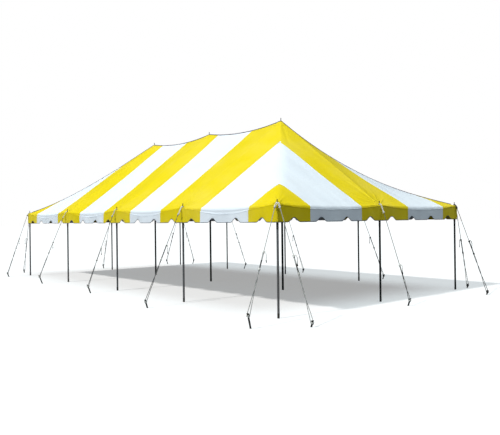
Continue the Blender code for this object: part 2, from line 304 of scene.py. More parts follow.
def turned(profile: Sequence, sides: int, foot: Sequence, slots: Optional[Sequence] = None,
           lean: Sequence = (0.0, 0.0)) -> Surface:
    """A surface of revolution about an upright axis, which may lean as a shear.

    The point at height z and angle a is foot + (r(z) cos a + lean x times z, r(z) sin a + lean y
    times z, z).

    Args:
        profile: Pairs of radius and height from the bottom middle to the top middle.
        sides: How many flat faces go round.
        foot: Where height 0 is.
        slots: The material slot of each stretch of the profile, or None for 0.
        lean: How far the axis moves along X and Y for each metre up.

    Returns:
        The closed surface.
    """
    radius, height = np.asarray(profile, float).T[:, :, None]
    angle = np.linspace(0, math.tau, sides, endpoint=False)[None]
    points = np.stack([radius * np.cos(angle) + lean[0] * height + foot[0],
                       radius * np.sin(angle) + lean[1] * height + foot[1],
                       height + foot[2] + 0 * angle], axis=-1)
    round_axis = np.linspace(0, 1, sides + 1)[None]
    uv = np.stack(np.broadcast_arrays(round_axis, height), axis=-1)
    surface = Surface.grid(points, uv, wrap=True)
    if slots is not None:
        surface.slots = np.repeat(np.asarray(slots), sides)
    return surface


def rounded_box(width: float, height: float, corner: float, steps: int = 3) -> Array:
    """The outline of a rectangle with round corners, from its corner arcs.

    Args:
        width: Width of the rectangle.
        height: Height of the rectangle.
        corner: Radius of the corners.
        steps: Points of each corner's arc.

    Returns:
        The outline's points, round once.
    """
    turn = np.linspace(0, math.pi / 2, steps)
    arc = corner * np.stack([np.cos(turn), np.sin(turn)], axis=1)
    outline = []
    for quarter in range(4):
        cos, sin = math.cos(quarter * math.pi / 2), math.sin(quarter * math.pi / 2)
        middle = (math.copysign(width / 2 - corner, cos - sin),
                  math.copysign(height / 2 - corner, cos + sin))
        outline.append(arc @ np.array([[cos, sin], [-sin, cos]]) + middle)
    return np.vstack(outline)


def circle(radius: float, sides: int) -> Array:
    """The outline of a circle."""
    turn = np.linspace(0, math.tau, sides, endpoint=False)
    return radius * np.stack([np.cos(turn), np.sin(turn)], axis=1)


# Shader nodes


@dataclass(frozen=True)
class Output:
    """An output of a shader node. Arithmetic on it adds Math nodes.

    Attributes:
        nodes: The tree that it is in.
        socket: The node's own socket.
    """

    nodes: "NodeTree"
    socket: bpy.types.NodeSocket

    def __add__(self, other: Any) -> "Output":
        """The sum of the two."""
        return self.nodes.math("ADD", self, other)

    def __sub__(self, other: Any) -> "Output":
        """This less the other."""
        return self.nodes.math("SUBTRACT", self, other)

    def __rsub__(self, other: float) -> "Output":
        """A number less this."""
        return self.nodes.math("SUBTRACT", other, self)

    def __mul__(self, other: Any) -> "Output":
        """The product of the two."""
        return self.nodes.math("MULTIPLY", self, other)

    def __truediv__(self, other: Any) -> "Output":
        """This divided by the other."""
        return self.nodes.math("DIVIDE", self, other)

    def __abs__(self) -> "Output":
        """This without its sign."""
        return self.nodes.math("ABSOLUTE", self)


class NodeTree:
    """Short calls that add nodes to one shader tree."""

    def __init__(self, tree: bpy.types.NodeTree) -> None:
        """Keep the tree."""
        self.tree = tree

    def feed(self, socket: bpy.types.NodeSocket, value: Any) -> None:
        """Link an output to a node's input, or set the input to a plain value.

        Args:
            socket: The input.
            value: The output or the value.
        """
        if isinstance(value, Output):
            self.tree.links.new(value.socket, socket)
        else:
            socket.default_value = value

    def add(self, kind: str, inputs: Optional[dict] = None, **settings: Any) -> bpy.types.Node:
        """Add a node.

        Args:
            kind: The node's type, without the leading ShaderNode where it has one.
            inputs: Input name or number to a value or to an output that feeds it.
            settings: The node's own settings.

        Returns:
            The node.
        """
        node = self.tree.nodes.new(kind if kind.startswith("Node") else "ShaderNode" + kind)
        for key, value in settings.items():
            setattr(node, key, value)
        for key, value in (inputs or {}).items():
            self.feed(node.inputs[key], value)
        return node

    def result(self, kind: str, inputs: Optional[dict] = None, output: Any = 0,
               **settings: Any) -> Output:
        """One output of a new node, by its name or number."""
        return Output(self, self.add(kind, inputs, **settings).outputs[output])

    def math(self, operation: str, *values: Any) -> Output:
        """The result of a Math node."""
        return self.result("Math", dict(enumerate(values)), operation=operation)

    def fit(self, value: Output, low: float, high: float, to_low: float = 0.0,
            to_high: float = 1.0) -> Output:
        """A value carried from one range to another along an S-shaped rise, and held there."""
        return self.result("MapRange", dict(enumerate((value, low, high, to_low, to_high))),
                           interpolation_type="SMOOTHSTEP")

    def mix(self, share: Any, first: Any, second: Any, blend: str = "MIX") -> Output:
        """The colour between two colours, or their product in MULTIPLY.

        Args:
            share: How much of the second there is, as an output or a number.
            first: The first colour, as an output or three numbers.
            second: The second colour, in the same way.
            blend: How they are blended.

        Returns:
            The colour.
        """
        first, second = ((*end, 1.0) if isinstance(end, tuple) else end for end in (first, second))
        return self.result("Mix", {0: share, 6: first, 7: second}, 2, data_type="RGBA",
                           blend_type=blend)

    def toned(self, colour: Any, tone: Output) -> Output:
        """A colour times a tone."""
        grey = self.result("CombineColor", {0: tone, 1: tone, 2: tone})
        return self.mix(1.0, colour, grey, "MULTIPLY")

    def noise(self, vector: Output, scale: float, detail: float = 3.0,
              roughness: float = 0.55) -> Output:
        """A noise value about 0.5."""
        return self.result("TexNoise", {"Vector": vector, "Scale": scale, "Detail": detail,
                                        "Roughness": roughness}, "Fac")

    def split(self, vector: Output) -> list:
        """The three parts of a vector."""
        return [Output(self, part) for part in self.add("SeparateXYZ", {0: vector}).outputs]

    def stretched(self, vector: Output, factors: tuple) -> Output:
        """A vector with each part multiplied by its factor."""
        return self.result("VectorMath", {0: vector, 1: factors}, operation="MULTIPLY")

    def bump(self, height: Output, strength: float, distance: float, **over: Output) -> Output:
        """The normal that a height bends, over another Normal where one is given."""
        return self.result("Bump", {"Height": height, "Strength": strength, "Distance": distance,
                                    **over})


@dataclass(frozen=True)
class Effect:
    """A shader node group that several finishes share, built once.

    Attributes:
        name: The group's name.
        inputs: Input name to its default value, or to None for a vector.
        wire: The function that adds the nodes: it takes the tree and the inputs, by name in
            small letters, and gives the outputs by name.
    """

    name: str
    inputs: dict
    wire: Callable

    def group(self) -> bpy.types.NodeTree:
        """The node group, made on the first call.

        Returns:
            The group's tree.
        """
        made = bpy.data.node_groups.get(self.name)
        if made is not None:
            return made
        made = bpy.data.node_groups.new(self.name, "ShaderNodeTree")
        for name, value in self.inputs.items():
            kind = "NodeSocketVector" if value is None else "NodeSocketFloat"
            socket = made.interface.new_socket(name, in_out="INPUT", socket_type=kind)
            if value is not None:
                socket.default_value = value
        nodes = NodeTree(made)
        entry = nodes.add("NodeGroupInput")
        outputs = self.wire(nodes, **{name.lower(): Output(nodes, entry.outputs[name])
                                      for name in self.inputs})
        for name in outputs:
            made.interface.new_socket(name, in_out="OUTPUT", socket_type="NodeSocketFloat")
        nodes.add("NodeGroupOutput", outputs)
        return made

    def place(self, nodes: NodeTree, **inputs: Any) -> dict:
        """Place the group in a material, with its inputs by name, and give its outputs by name."""
        node = nodes.add("Group", inputs, node_tree=self.group())
        return {socket.name: Output(nodes, socket) for socket in node.outputs}


def wire_panels(nodes: NodeTree, stripe: Output, width: Output) -> dict:
    """The panels' colours, and a flat band over each weld with soft edges.

    Args:
        nodes: The group's tree.
        stripe: The stripe number, whole at the middle of a panel and a half at a weld.
        width: Width of a panel.

    Returns:
        White, 1 where the stripe number rounds to an odd one, and Weld, 1 in the band.
    """
    flat_half, soft_half = 0.0165, 0.018
    nearest = nodes.math("ROUND", stripe)
    white = nodes.math("MODULO", abs(nearest), 2.0)
    from_weld = (0.5 - abs(stripe - nearest)) * width
    return {"White": white, "Weld": nodes.fit(from_weld, soft_half, flat_half)}


def wire_weave(nodes: NodeTree, place: Output, threads: Output) -> dict:
    """Two sets of threads at right angles: a sine along each axis of the cloth, the higher one
    showing.

    Args:
        nodes: The group's tree.
        place: Place on the cloth in metres.
        threads: Radians of thread for each metre.

    Returns:
        Height, from -1 to 1.
    """
    waves = [nodes.math("SINE", part * threads) for part in nodes.split(place)[:2]]
    return {"Height": nodes.math("MAXIMUM", *waves)}


def wire_creases(nodes: NodeTree, place: Output, bay: Output, reach: Output,
                 count: Output) -> dict:
    """Creases that fan out of the side pins.

    The nearest pin is found from the place by rounding to whole bays. Round it the height is the
    square of the upper half of a sine of the angle, made uneven by noise, and swells as distance
    times exp(1 - distance), in reaches.

    Args:
        nodes: The group's tree.
        place: Place in the tent.
        bay: Distance between pins.
        reach: Distance from a pin at which its creases are highest.
        count: How many creases fan out in a full turn.

    Returns:
        Height, from 0 to 1.
    """
    x, y, _ = nodes.split(place)
    on_end = nodes.math("GREATER_THAN", abs(x) - bay, abs(y))
    along = on_end * y + (1.0 - on_end) * x
    near = along - nodes.math("ROUND", along / bay) * bay
    inside = nodes.math("MAXIMUM", abs(x) - bay * 2.0, abs(y) - bay)
    share = nodes.math("SQRT", near * near + inside * inside) / reach
    swell = share * nodes.math("EXPONENT", 1.0 - share)
    uneven = nodes.noise(place, 1.6, 2.0) * 7.0
    angle = nodes.math("ARCTAN2", inside, near) * count + uneven
    crest = nodes.math("MAXIMUM", nodes.math("SINE", angle), 0.0)
    return {"Height": crest * crest * swell}


def wire_tension(nodes: NodeTree, place: Output) -> dict:
    """Long shallow folds that run with the cloth's pull: noise stretched down the slope.

    Args:
        nodes: The group's tree.
        place: Place on the cloth in metres, along the eave and down the slope.

    Returns:
        Height, about 0.5.
    """
    drawn = nodes.stretched(place, (2.4, 0.55, 1.0))
    return {"Height": nodes.noise(drawn, 1.0, 1.0, 0.4)}


def wire_weather(nodes: NodeTree, place: Output, amount: Output) -> dict:
    """Broad mottling, and dust in patches that breaks up at their edges.

    Args:
        nodes: The group's tree.
        place: Place in the tent.
        amount: How much dust has settled.

    Returns:
        Mottle, about 0.5, and Dust, from 0 to the amount.
    """
    broad = nodes.noise(place, 0.9, 4.0)
    fine = nodes.noise(place, 22.0, 5.0, 0.7)
    dust = nodes.fit(broad + fine * 0.5, 0.62, 1.0)
    return {"Mottle": broad * 0.75 + fine * 0.25, "Dust": dust * amount}


def wire_chips(nodes: NodeTree, place: Output, amount: Output) -> dict:
    """Bare spots where two noises are both high, more of them the larger the amount.

    Args:
        nodes: The group's tree.
        place: Place in the tent.
        amount: How much has worn through.

    Returns:
        Bare, 1 in a spot, and Grain, about 0.5.
    """
    large = nodes.noise(place, 26.0, 2.0)
    small = nodes.noise(place, 190.0, 4.0, 0.7)
    bare = nodes.math("GREATER_THAN", large * small, 0.42 - amount * 0.2)
    return {"Bare": bare, "Grain": small}


PANELS = Effect("striped_panels", {"Stripe": 0.0, "Width": 1.524}, wire_panels)
WEAVE = Effect("woven_threads", {"Place": None, "Threads": 2000.0}, wire_weave)
CREASES = Effect("pin_creases", {"Place": None, "Bay": 3.048, "Reach": 0.22, "Count": 16.0},
                 wire_creases)
TENSION = Effect("tension_folds", {"Place": None}, wire_tension)
WEATHER = Effect("outdoor_weather", {"Place": None, "Amount": 0.5}, wire_weather)
CHIPS = Effect("bare_spots", {"Place": None, "Amount": 0.5}, wire_chips)


class Paint(NodeTree):
    """A new material with a Principled shader.

    Attributes:
        material: The material.
        place: Its Object coordinates.
        uv: Its UV coordinates.
    """

    def __init__(self, name: str) -> None:
        """Make the material.

        Args:
            name: Its name.
        """
        self.material = bpy.data.materials.new(name)
        self.material.use_nodes = True
        super().__init__(self.material.node_tree)
        coordinates = self.add("TexCoord").outputs
        self.place, self.uv = (Output(self, coordinates[key]) for key in ("Object", "UV"))

    def coat(self, **inputs: Any) -> bpy.types.Material:
        """Feed the shader's inputs.

        Args:
            inputs: Input name, with _ for a space, to an output or a value.

        Returns:
            The material.
        """
        shader = self.tree.nodes["Principled BSDF"]
        for name, value in inputs.items():
            self.feed(shader.inputs[name.replace("_", " ")], value)
        return self.material


@dataclass(frozen=True)
class VinylFinish:
    """Coated cloth in two colours, whose stripes, welds and weave follow the UV map.

    Attributes:
        name: The material's name.
        yellow: Colour of the even panels.
        white: Colour of the odd panels.
        settled: Colour of the dust.
        shade: How much darker the inner face is made, as painted shade under the cloth, 1 for not
            at all.
        panel_width: Width of a panel, to carry the stripe number to metres.
        threads: Radians of thread for each metre.
        roughness: Roughness of a clean panel.
        dust: How much dust has settled.
        crease: Height in metres of the creases round the pins.
        fold: Height in metres of the long folds down the slopes.
    """

    name: str
    yellow: tuple = (0.775, 0.61, 0.004)
    white: tuple = (0.785, 0.84, 0.89)
    settled: tuple = (0.42, 0.40, 0.33)
    shade: float = 1.0
    panel_width: float = 1.524
    threads: float = 2400.0
    roughness: float = 0.5
    dust: float = 0.12
    crease: float = 0.007
    fold: float = 0.028

    def material(self) -> bpy.types.Material:
        """The finished material.

        Returns:
            The material: panels toned by mottle and welds and dusted over, with a fine relief of
            threads and welds on a broad one of creases and folds.
        """
        paint = Paint(self.name)
        on_cloth = paint.stretched(paint.uv, (self.panel_width, 1.0, 1.0))
        panels = PANELS.place(paint, Stripe=paint.split(paint.uv)[0], Width=self.panel_width)
        weather = WEATHER.place(paint, Place=paint.place, Amount=self.dust)
        weave = WEAVE.place(paint, Place=on_cloth, Threads=self.threads)
        creases = CREASES.place(paint, Place=paint.place, Bay=2 * self.panel_width)
        folds = TENSION.place(paint, Place=on_cloth)
        # Painted shade on the inner face: every colour is scaled down by shade.
        yellow, white, settled = (tuple(self.shade * part for part in colour)
                                  for colour in (self.yellow, self.white, self.settled))
        tone = paint.fit(weather["Mottle"], 0.3, 0.7, 0.955, 1.02) - panels["Weld"] * 0.05
        colour = paint.toned(paint.mix(panels["White"], yellow, white), tone)
        rough = paint.fit(weather["Mottle"], 0.3, 0.7, self.roughness - 0.06,
                          self.roughness + 0.08)
        fine = weave["Height"] * 0.12 + (panels["Weld"] + weather["Mottle"] * 1.5)
        broad = creases["Height"] * self.crease + folds["Height"] * self.fold
        return paint.coat(Base_Color=paint.mix(weather["Dust"], colour, settled),
                          Roughness=rough + weather["Dust"] * 0.5, Specular_IOR_Level=0.16,
                          Normal=paint.bump(fine, 0.35, 0.0012, Normal=paint.bump(broad, 1.0, 1.0)))


@dataclass(frozen=True)
class WebbingFinish:
    """Woven tape, with ribs across its length and a paler worn face.

    Attributes:
        name: The material's name.
        colour: Colour of the clean tape.
        worn: Colour where it has rubbed.
        wear: How much has rubbed.
        ribs: Radians of rib for each metre of length.
    """

    name: str
    colour: tuple = (0.10, 0.11, 0.15)
    worn: tuple = (0.24, 0.25, 0.30)
    wear: float = 0.8
    ribs: float = 1800.0

    def material(self) -> bpy.types.Material:
        """The finished material.

        Returns:
            The material: worn in patches, darkened between its ribs as painted shade, and raised by
                them.
        """
        paint = Paint(self.name)
        ribs = WEAVE.place(paint, Place=paint.uv, Threads=self.ribs)["Height"]
        weather = WEATHER.place(paint, Place=paint.place, Amount=self.wear)
        colour = paint.mix(weather["Dust"], self.colour, self.worn)
        # Painted shade between the ribs: the colour is darker where the rib relief is low.
        return paint.coat(Base_Color=paint.toned(colour, paint.fit(ribs, -1.0, 1.0, 0.8, 1.05)),
                          Roughness=paint.fit(weather["Mottle"], 0.3, 0.7, 0.7, 0.9),
                          Normal=paint.bump(ribs, 0.4, 0.0008))


@dataclass(frozen=True)
class RopeFinish:
    """White laid rope: fine fibres that run with the strands, with painted shade in the grooves.

    Attributes:
        name: The material's name.
        colour: Colour of the clean fibres.
        soiled: Colour of the painted shade in the grooves and of the soiled stretches.
        fibres: How many fibres show round the rope.
        fibre_lay: Radians of fibre for each metre of rope.
        soil: How much of the rope is soiled.
    """

    name: str
    colour: tuple = (0.84, 0.84, 0.80)
    soiled: tuple = (0.40, 0.39, 0.34)
    fibres: float = 30.0
    fibre_lay: float = 900.0
    soil: float = 0.6

    def material(self) -> bpy.types.Material:
        """The finished material.

        Returns:
            The material: darkened in the grooves between its three strands as painted shade, soiled
                in patches, and darkened between its fibres as painted shade and raised by them.
        """
        paint = Paint(self.name)
        along, around, _ = paint.split(paint.uv)
        strand = paint.math("SINE", around * (3 * math.tau))
        fibre = paint.math("SINE", along * self.fibre_lay + around * (self.fibres * math.tau))
        weather = WEATHER.place(paint, Place=paint.place, Amount=self.soil)
        # Painted shade: the grooves between the strands are darkened, and dust is added to them.
        soil = paint.fit(strand, -0.2, -1.0, 0.0, 0.4) + weather["Dust"]
        colour = paint.mix(soil, self.colour, self.soiled)
        # Painted shade between the fibres: the colour is darker where the fibre relief is low.
        return paint.coat(Base_Color=paint.toned(colour, paint.fit(fibre, -1.0, 1.0, 0.86, 1.04)),
                          Roughness=0.78, Normal=paint.bump(fibre, 0.35, 0.0006))


@dataclass(frozen=True)
class MetalFinish:
    """Steel with a coat that has worn through in spots.

    Attributes:
        name: The material's name.
        coat: Colour of the coat.
        bare: Colour where it has worn through.
        metallic: Metallic value of the coat.
        roughness: Roughness of the coat.
        wear: How much has worn through.
        soil: Colour of the soil that clings near the ground, which fades out by soil_height.
        soil_height: Height at which no soil is left.
        crystals: How many crystals of the coat lie in a metre.
    """

    name: str
    coat: tuple
    bare: tuple
    metallic: float
    roughness: float = 0.6
    wear: float = 0.25
    soil: tuple = (0.16, 0.13, 0.10)
    soil_height: float = 0.12
    crystals: float = 85.0

    def material(self) -> bpy.types.Material:
        """The finished material.

        Returns:
            The material: a coat of crystals of slightly different tones, bare in spots and
            soiled near the ground, with the grain of the spots as relief.
        """
        paint = Paint(self.name)
        chips = CHIPS.place(paint, Place=paint.place, Amount=self.wear)
        weather = WEATHER.place(paint, Place=paint.place, Amount=0.4)
        crystal = paint.result("TexVoronoi", {"Vector": paint.place, "Scale": self.crystals},
                               "Color")
        spangle = paint.result("SeparateColor", {0: crystal})
        coat = paint.toned(self.coat, paint.fit(spangle, 0.0, 1.0, 0.86, 1.12))
        ragged = paint.split(paint.place)[2] + chips["Grain"] * 0.06
        soiled = paint.fit(ragged, self.soil_height, 0.0, 0.0, 0.75)
        colour = paint.mix(paint.math("MAXIMUM", soiled, weather["Dust"]),
                           paint.mix(chips["Bare"], coat, self.bare), self.soil)
        rough = paint.fit(spangle, 0.0, 1.0, self.roughness - 0.07, self.roughness + 0.07)
        return paint.coat(Base_Color=colour, Metallic=(1.0 - soiled) * self.metallic,
                          Roughness=rough + soiled * 0.35,
                          Normal=paint.bump(chips["Grain"], 0.25, 0.0006))


class Finish(Enum):
    """The finishes of the tent's pieces."""

    VINYL = VinylFinish("striped_vinyl")
    # The inner face is the same cloth, darkened as painted shade.
    VINYL_INSIDE = VinylFinish("striped_vinyl_inner_face", shade=0.72, roughness=0.55)
    # A dark blue-grey band along the hem, which draws a thin dark line along the scallops.
    BINDING = WebbingFinish("hem_binding_tape")
    # Painted shade: the tape is dark violet grey so that it draws the shaded line along the ridge
    # and hips.
    SEAM_TAPE = WebbingFinish("ridge_seam_tape", colour=(0.10, 0.085, 0.11),
                              worn=(0.22, 0.20, 0.24))
    ROPE = RopeFinish("laid_white_rope")
    # Painted shade: the white rope's runs are darkened grey, and the back guys' rope is near black,
    # to stand for the shade on them.
    CLEAN_RUN = RopeFinish("handled_rope", colour=(0.46, 0.46, 0.44), soiled=(0.13, 0.13, 0.12))
    SOILED_RUN = RopeFinish("soiled_rope", colour=(0.13, 0.13, 0.125),
                            soiled=(0.04, 0.04, 0.037))
    DULL_ROPE = RopeFinish("weathered_rope", colour=(0.018, 0.018, 0.016),
                           soiled=(0.006, 0.006, 0.005))
    GALVANISED = MetalFinish("galvanised_tube", coat=(0.125, 0.127, 0.135),
                             bare=(0.20, 0.20, 0.21), metallic=0.35, roughness=0.55, wear=0.2)
    # Painted shade: the side poles away from the front and the centre poles are near black to stand
    # for the tent's shade on them.
    DULL_TUBE = MetalFinish("weathered_tube", coat=(0.008, 0.0085, 0.009),
                            bare=(0.03, 0.03, 0.03), metallic=0.2)
    DARK_TUBE = MetalFinish("dark_painted_tube", coat=(0.006, 0.0065, 0.0065),
                            bare=(0.04, 0.04, 0.036), metallic=0.1)
    # Dark sleeves at the poles' feet and crowns; the one under the cloth is painted shadow of the
    # cloth on the pole.
    SLEEVE = MetalFinish("pole_end_sleeve", coat=(0.010, 0.010, 0.011),
                         bare=(0.05, 0.05, 0.05), metallic=0.0, wear=0.4, soil_height=0.03)
    BRIGHT_STEEL = MetalFinish("zinc_plated_steel", coat=(0.30, 0.30, 0.31),
                               bare=(0.4, 0.4, 0.4), metallic=0.7, roughness=0.4, wear=0.2)
    BLACK_STEEL = MetalFinish("black_stake_steel", coat=(0.004, 0.004, 0.0045),
                              bare=(0.03, 0.026, 0.02), metallic=0.1, roughness=0.65, wear=0.3,
                              soil_height=0.03)

    def material(self) -> bpy.types.Material:
        """The finish's material, made on the first call."""
        return bpy.data.materials.get(self.value.name) or self.value.material()


def dress(obj: bpy.types.Object, slot: str, *finishes: Finish) -> None:
    """Put the materials on a piece and fasten it to the tent.

    Args:
        obj: The piece.
        slot: Its slot in the record; not used.
        finishes: Its finishes, in the order of the mesh's slots.
    """
    for finish in finishes:
        obj.data.materials.append(finish.material())
    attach(obj, "root")
    LOG.info("%s: %d faces", obj.name, len(obj.data.polygons))


def thicken(obj: bpy.types.Object, thickness: float, offset: float = -1.0) -> None:
    """Give an open sheet its thickness, with the second material on its inner face.

    Args:
        obj: The sheet.
        thickness: Its thickness.
        offset: Where the thickness goes: -1 for inwards, 0 for both ways.
    """
    wall = obj.modifiers.new("cloth_thickness", "SOLIDIFY")
    wall.thickness = thickness
    wall.offset = offset
    wall.use_even_offset = False
    wall.material_offset = 1
    wall.material_offset_rim = 0


# The tent's sizes


def middle_of(node: str) -> Array:
    """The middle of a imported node's box, in plan."""
    low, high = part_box(node)
    return np.array([(low.x + high.x) / 2, (low.y + high.y) / 2])


def corners_of(node: str) -> Array:
    """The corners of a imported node's mesh, one row each."""
    return np.array([vertex.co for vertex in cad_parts[node].data.vertices])


@dataclass(frozen=True)
class Plan:
    """Where the tent stands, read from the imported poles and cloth.

    Attributes:
        half_length: From the middle of the tent to its end poles.
        half_width: From the middle of the tent to its side poles, which is one bay.
        pin_height: Height of the cloth at the side pins.
        peak_height: Height of the cloth at the peaks.
        eave_run: From the line of the peaks to the eave, in plan.
        hem_height: Height of the valance's hem.
        side_pin_rise: How far the side pins stand up through the cloth.
    """

    half_length: float
    half_width: float
    pin_height: float
    peak_height: float
    eave_run: float
    hem_height: float
    side_pin_rise: float = 0.085

    @classmethod
    def from_frame(cls) -> "Plan":
        """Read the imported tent.

        Returns:
            Its plan.
        """
        corner = middle_of("side_pole_front_right_corner")
        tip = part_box("side_pole_front_right_corner")[1].z
        low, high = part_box("canopy_front")
        return cls(half_length=corner[0], half_width=-corner[1],
                   pin_height=tip - cls.side_pin_rise, peak_height=high.z,
                   eave_run=-low.y, hem_height=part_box("valance_front")[0].z)

    @property
    def bay(self) -> float:
        """The distance between poles along the eaves."""
        return self.half_width

    @property
    def peak_x(self) -> float:
        """Distance of the outer peaks from the middle of the tent."""
        return self.half_length - self.half_width

    @property
    def slope_length(self) -> float:
        """Length of a pole line down the cloth, from a peak to the pin."""
        return math.hypot(self.half_width, self.peak_height - self.pin_height)

    def eave_half(self, side: Side) -> float:
        """Half the length of one side's eave."""
        return self.eave_run if side.along else self.peak_x + self.eave_run

    def out(self, side: Side) -> float:
        """Distance of one side's eave from the middle of the tent."""
        return self.peak_x + self.eave_run if side.along else self.eave_run

    def pins(self) -> Array:
        """The plan places of the side pins, one row each."""
        poles = sorted(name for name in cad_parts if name.startswith("side_pole_"))
        return np.array([middle_of(pole) for pole in poles])

    def peaks(self) -> Array:
        """The plan places of the peaks, one row each."""
        return np.array([[k * self.peak_x, 0.0] for k in (-1, 0, 1)])


@dataclass(frozen=True)
class RoofShape:
    """The hung shape of the cloth, and where its panels' welds run.

    Attributes:
        plan: The tent's plan.
        ridge_sag: Sag of the ridge halfway between two peaks.
        eave_sag: Sag of the eave halfway between two pins.
        hip_sags: Sag of the hips at front left, front right, back left and back right.
        hip_skews: How much of each of those sags moves towards the peak, as a share of it.
        hip_rounds: How softly each of those hips turns: the width of its rounding at mid height.
        seams: Even places of the front side's welds, in bays.
        ridge_drift: How far each of them stands off its even place at the ridge, in bays.
        eave_drift: How far each of them stands off its even place at the eave, in bays.
        end_drift: The same at the eave, for the four welds of the right end.
        end_drift_start: Share of the way down at which those four begin to drift.
        billow: How far each panel lifts between its welds.
        slow_lift: Height of the slow unevenness of the whole.
        fold_lift: Height of the tension folds that fan out from a pin.
        fold_reach: Distance from the pin at which they are highest.
        fold_count: How many fan out in a full turn.
        ripple_lift: Height of the wrinkles that lie along the eave between the pins.
        ripple_length: Distance from one of those wrinkles to the next.
        ripple_fade: Distance up the slope over which they die away.
        pucker_depth: Depth of the pucker that runs down from an end peak beside each hip.
        pucker_width: Half its width.
        pucker_turn: How far across it goes for each metre out from the peak.
        pucker_ends: Distances out from the peak at which it starts and ends.
        step_depth: How far the back half of an end slope drops off its middle line.
        step_width: Width of that drop.
        crest_height: How far a taut hip stands over the cloth on both sides of it.
        crest_width: Half the width of that crest.
        hip_fade: How far from a hip the panels' own shape fades out.
    """

    plan: Plan
    ridge_sag: float = 0.125
    eave_sag: float = 0.025
    hip_sags: tuple = (0.15, 0.130, 0.15, 0.305)
    hip_skews: tuple = (-0.4, 0.0, 0.0, 0.2)
    hip_rounds: tuple = (0.15, 0.14, 0.20, 0.20)
    seams: tuple = (-1.75, -1.25, -0.75, -0.25, 0.25, 0.75, 1.25, 1.75)
    ridge_drift: tuple = (0.0, -0.04, -0.08, -0.14, -0.105, -0.13, -0.02, 0.0)
    eave_drift: tuple = (0.0, 0.05, 0.055, 0.045, 0.006, -0.035, -0.013, 0.0)
    end_drift: tuple = (0.02, 0.027, 0.077, 0.05)
    end_drift_start: float = 0.6
    billow: float = 0.012
    slow_lift: float = 0.006
    fold_lift: float = 0.010
    fold_reach: float = 0.30
    fold_count: int = 5
    ripple_lift: float = 0.004
    ripple_length: float = 0.17
    ripple_fade: float = 0.2
    pucker_depth: float = 0.008
    pucker_width: float = 0.05
    pucker_turn: float = 0.66
    pucker_ends: tuple = (0.08, 1.1)
    step_depth: float = 0.024
    step_width: float = 0.15
    crest_height: float = 0.026
    crest_width: float = 0.06
    hip_fade: float = 0.3

    @property
    def seams_on_end(self) -> tuple:
        """Even places of an end's welds, in bays."""
        return self.seams[2:6]

    def off_peak(self, x: Array, y: Array) -> tuple:
        """How far out from the line of an end peak, and how far across from the ridge."""
        return np.abs(x) - self.plan.peak_x, np.abs(y)

    def fall(self, x: Array, y: Array) -> Array:
        """The share of the way from the ridge or a peak to the line of the side pins."""
        return np.clip(np.maximum(*self.off_peak(x, y)) / self.plan.half_width, 0, 1)

    def on_end(self, x: Array, y: Array) -> Array:
        """Whether a place lies on one of the two end slopes."""
        return np.greater(*self.off_peak(x, y))

    def weld_shift(self, along: Any, fall: Array, on_end: Any, seen: Any) -> Array:
        """How far the welds stand from their even places.

        On the front they go from their drift at the ridge to their drift at the eave, and on the
        right end they part from their even places over the lowest part of the slope. The two
        sides that the photograph doesn't show keep even welds.

        Args:
            along: Even places along the side, in bays.
            fall: Shares of the way down the slope.
            on_end: Whether the places are on an end.
            seen: Whether they are on a side that shows.

        Returns:
            The shifts, in bays.
        """
        front = (np.interp(along, self.seams, self.ridge_drift) * (1 - fall) ** 1.6
                 + np.interp(along, self.seams, self.eave_drift) * smooth_step(fall))
        low = (fall - self.end_drift_start) / (1 - self.end_drift_start)
        end = np.interp(along, self.seams_on_end, self.end_drift) * smooth_step(low)
        return np.where(seen, np.where(on_end, end, front), 0.0)

    def stripe(self, x: Array, y: Array, on_end: Any) -> Array:
        """The stripe number.

        Args:
            x: X of the places.
            y: Y of the places.
            on_end: Whether they belong to an end's cloth, for each or for all.

        Returns:
            Numbers that are whole at the middle of a panel and a half at a weld.
        """
        along = np.where(on_end, y, x) / self.plan.bay
        seen = np.where(on_end, x > 0, y <= 0)
        return 2 * (along - self.weld_shift(along, self.fall(x, y), on_end, seen))

    def folds(self, x: Array, y: Array) -> Array:
        """Small lifts of the cloth between its taut lines.

        Round each pin a fan of folds is the fourth power of the cosine of the angle times
        fold_count, which makes narrow crests, and swells as distance times exp(1 - distance), in
        fold_reaches. Along the eave there are sine wrinkles that die away up the slope and
        towards the pins. Each panel lifts in a parabola between its welds, fading out towards the
        hips, and two slow sines make the whole uneven.

        Args:
            x: X of the places.
            y: Y of the places.

        Returns:
            How far the cloth lifts there.
        """
        pins = self.plan.pins()
        from_x, from_y = x[..., None] - pins[:, 0], y[..., None] - pins[:, 1]
        distance = np.hypot(from_x, from_y) / self.fold_reach
        turn = np.arctan2(from_y, from_x)
        phase = 1.7 * np.arange(len(pins))
        rays = (np.cos(self.fold_count * turn + phase) ** 4
                + 0.6 * np.cos((self.fold_count + 3) * turn - 2 * phase) ** 8)
        fan = self.fold_lift * np.sum(rays * distance * np.exp(1 - distance), axis=-1)
        fall, on_end, (past, across) = self.fall(x, y), self.on_end(x, y), self.off_peak(x, y)
        upward = self.plan.half_width * (1 - fall)
        bay_place = (np.where(on_end, y, x) / self.plan.bay) % 1
        ripple = (self.ripple_lift * hung(bay_place) * np.exp(-upward / self.ripple_fade)
                  * np.sin(math.tau * upward / self.ripple_length))
        panel = (self.stripe(x, y, on_end) + 0.5) % 1
        billow = self.billow * hung(panel) * smooth_step(np.abs(past - across) / self.hip_fade)
        slow = self.slow_lift * (np.sin(1.9 * x + 0.7 * y) + np.sin(1.3 * y - 2.3 * x + 1.1))
        return fan * (1 - fall ** 12) + ripple + hung(fall) * (billow + slow)

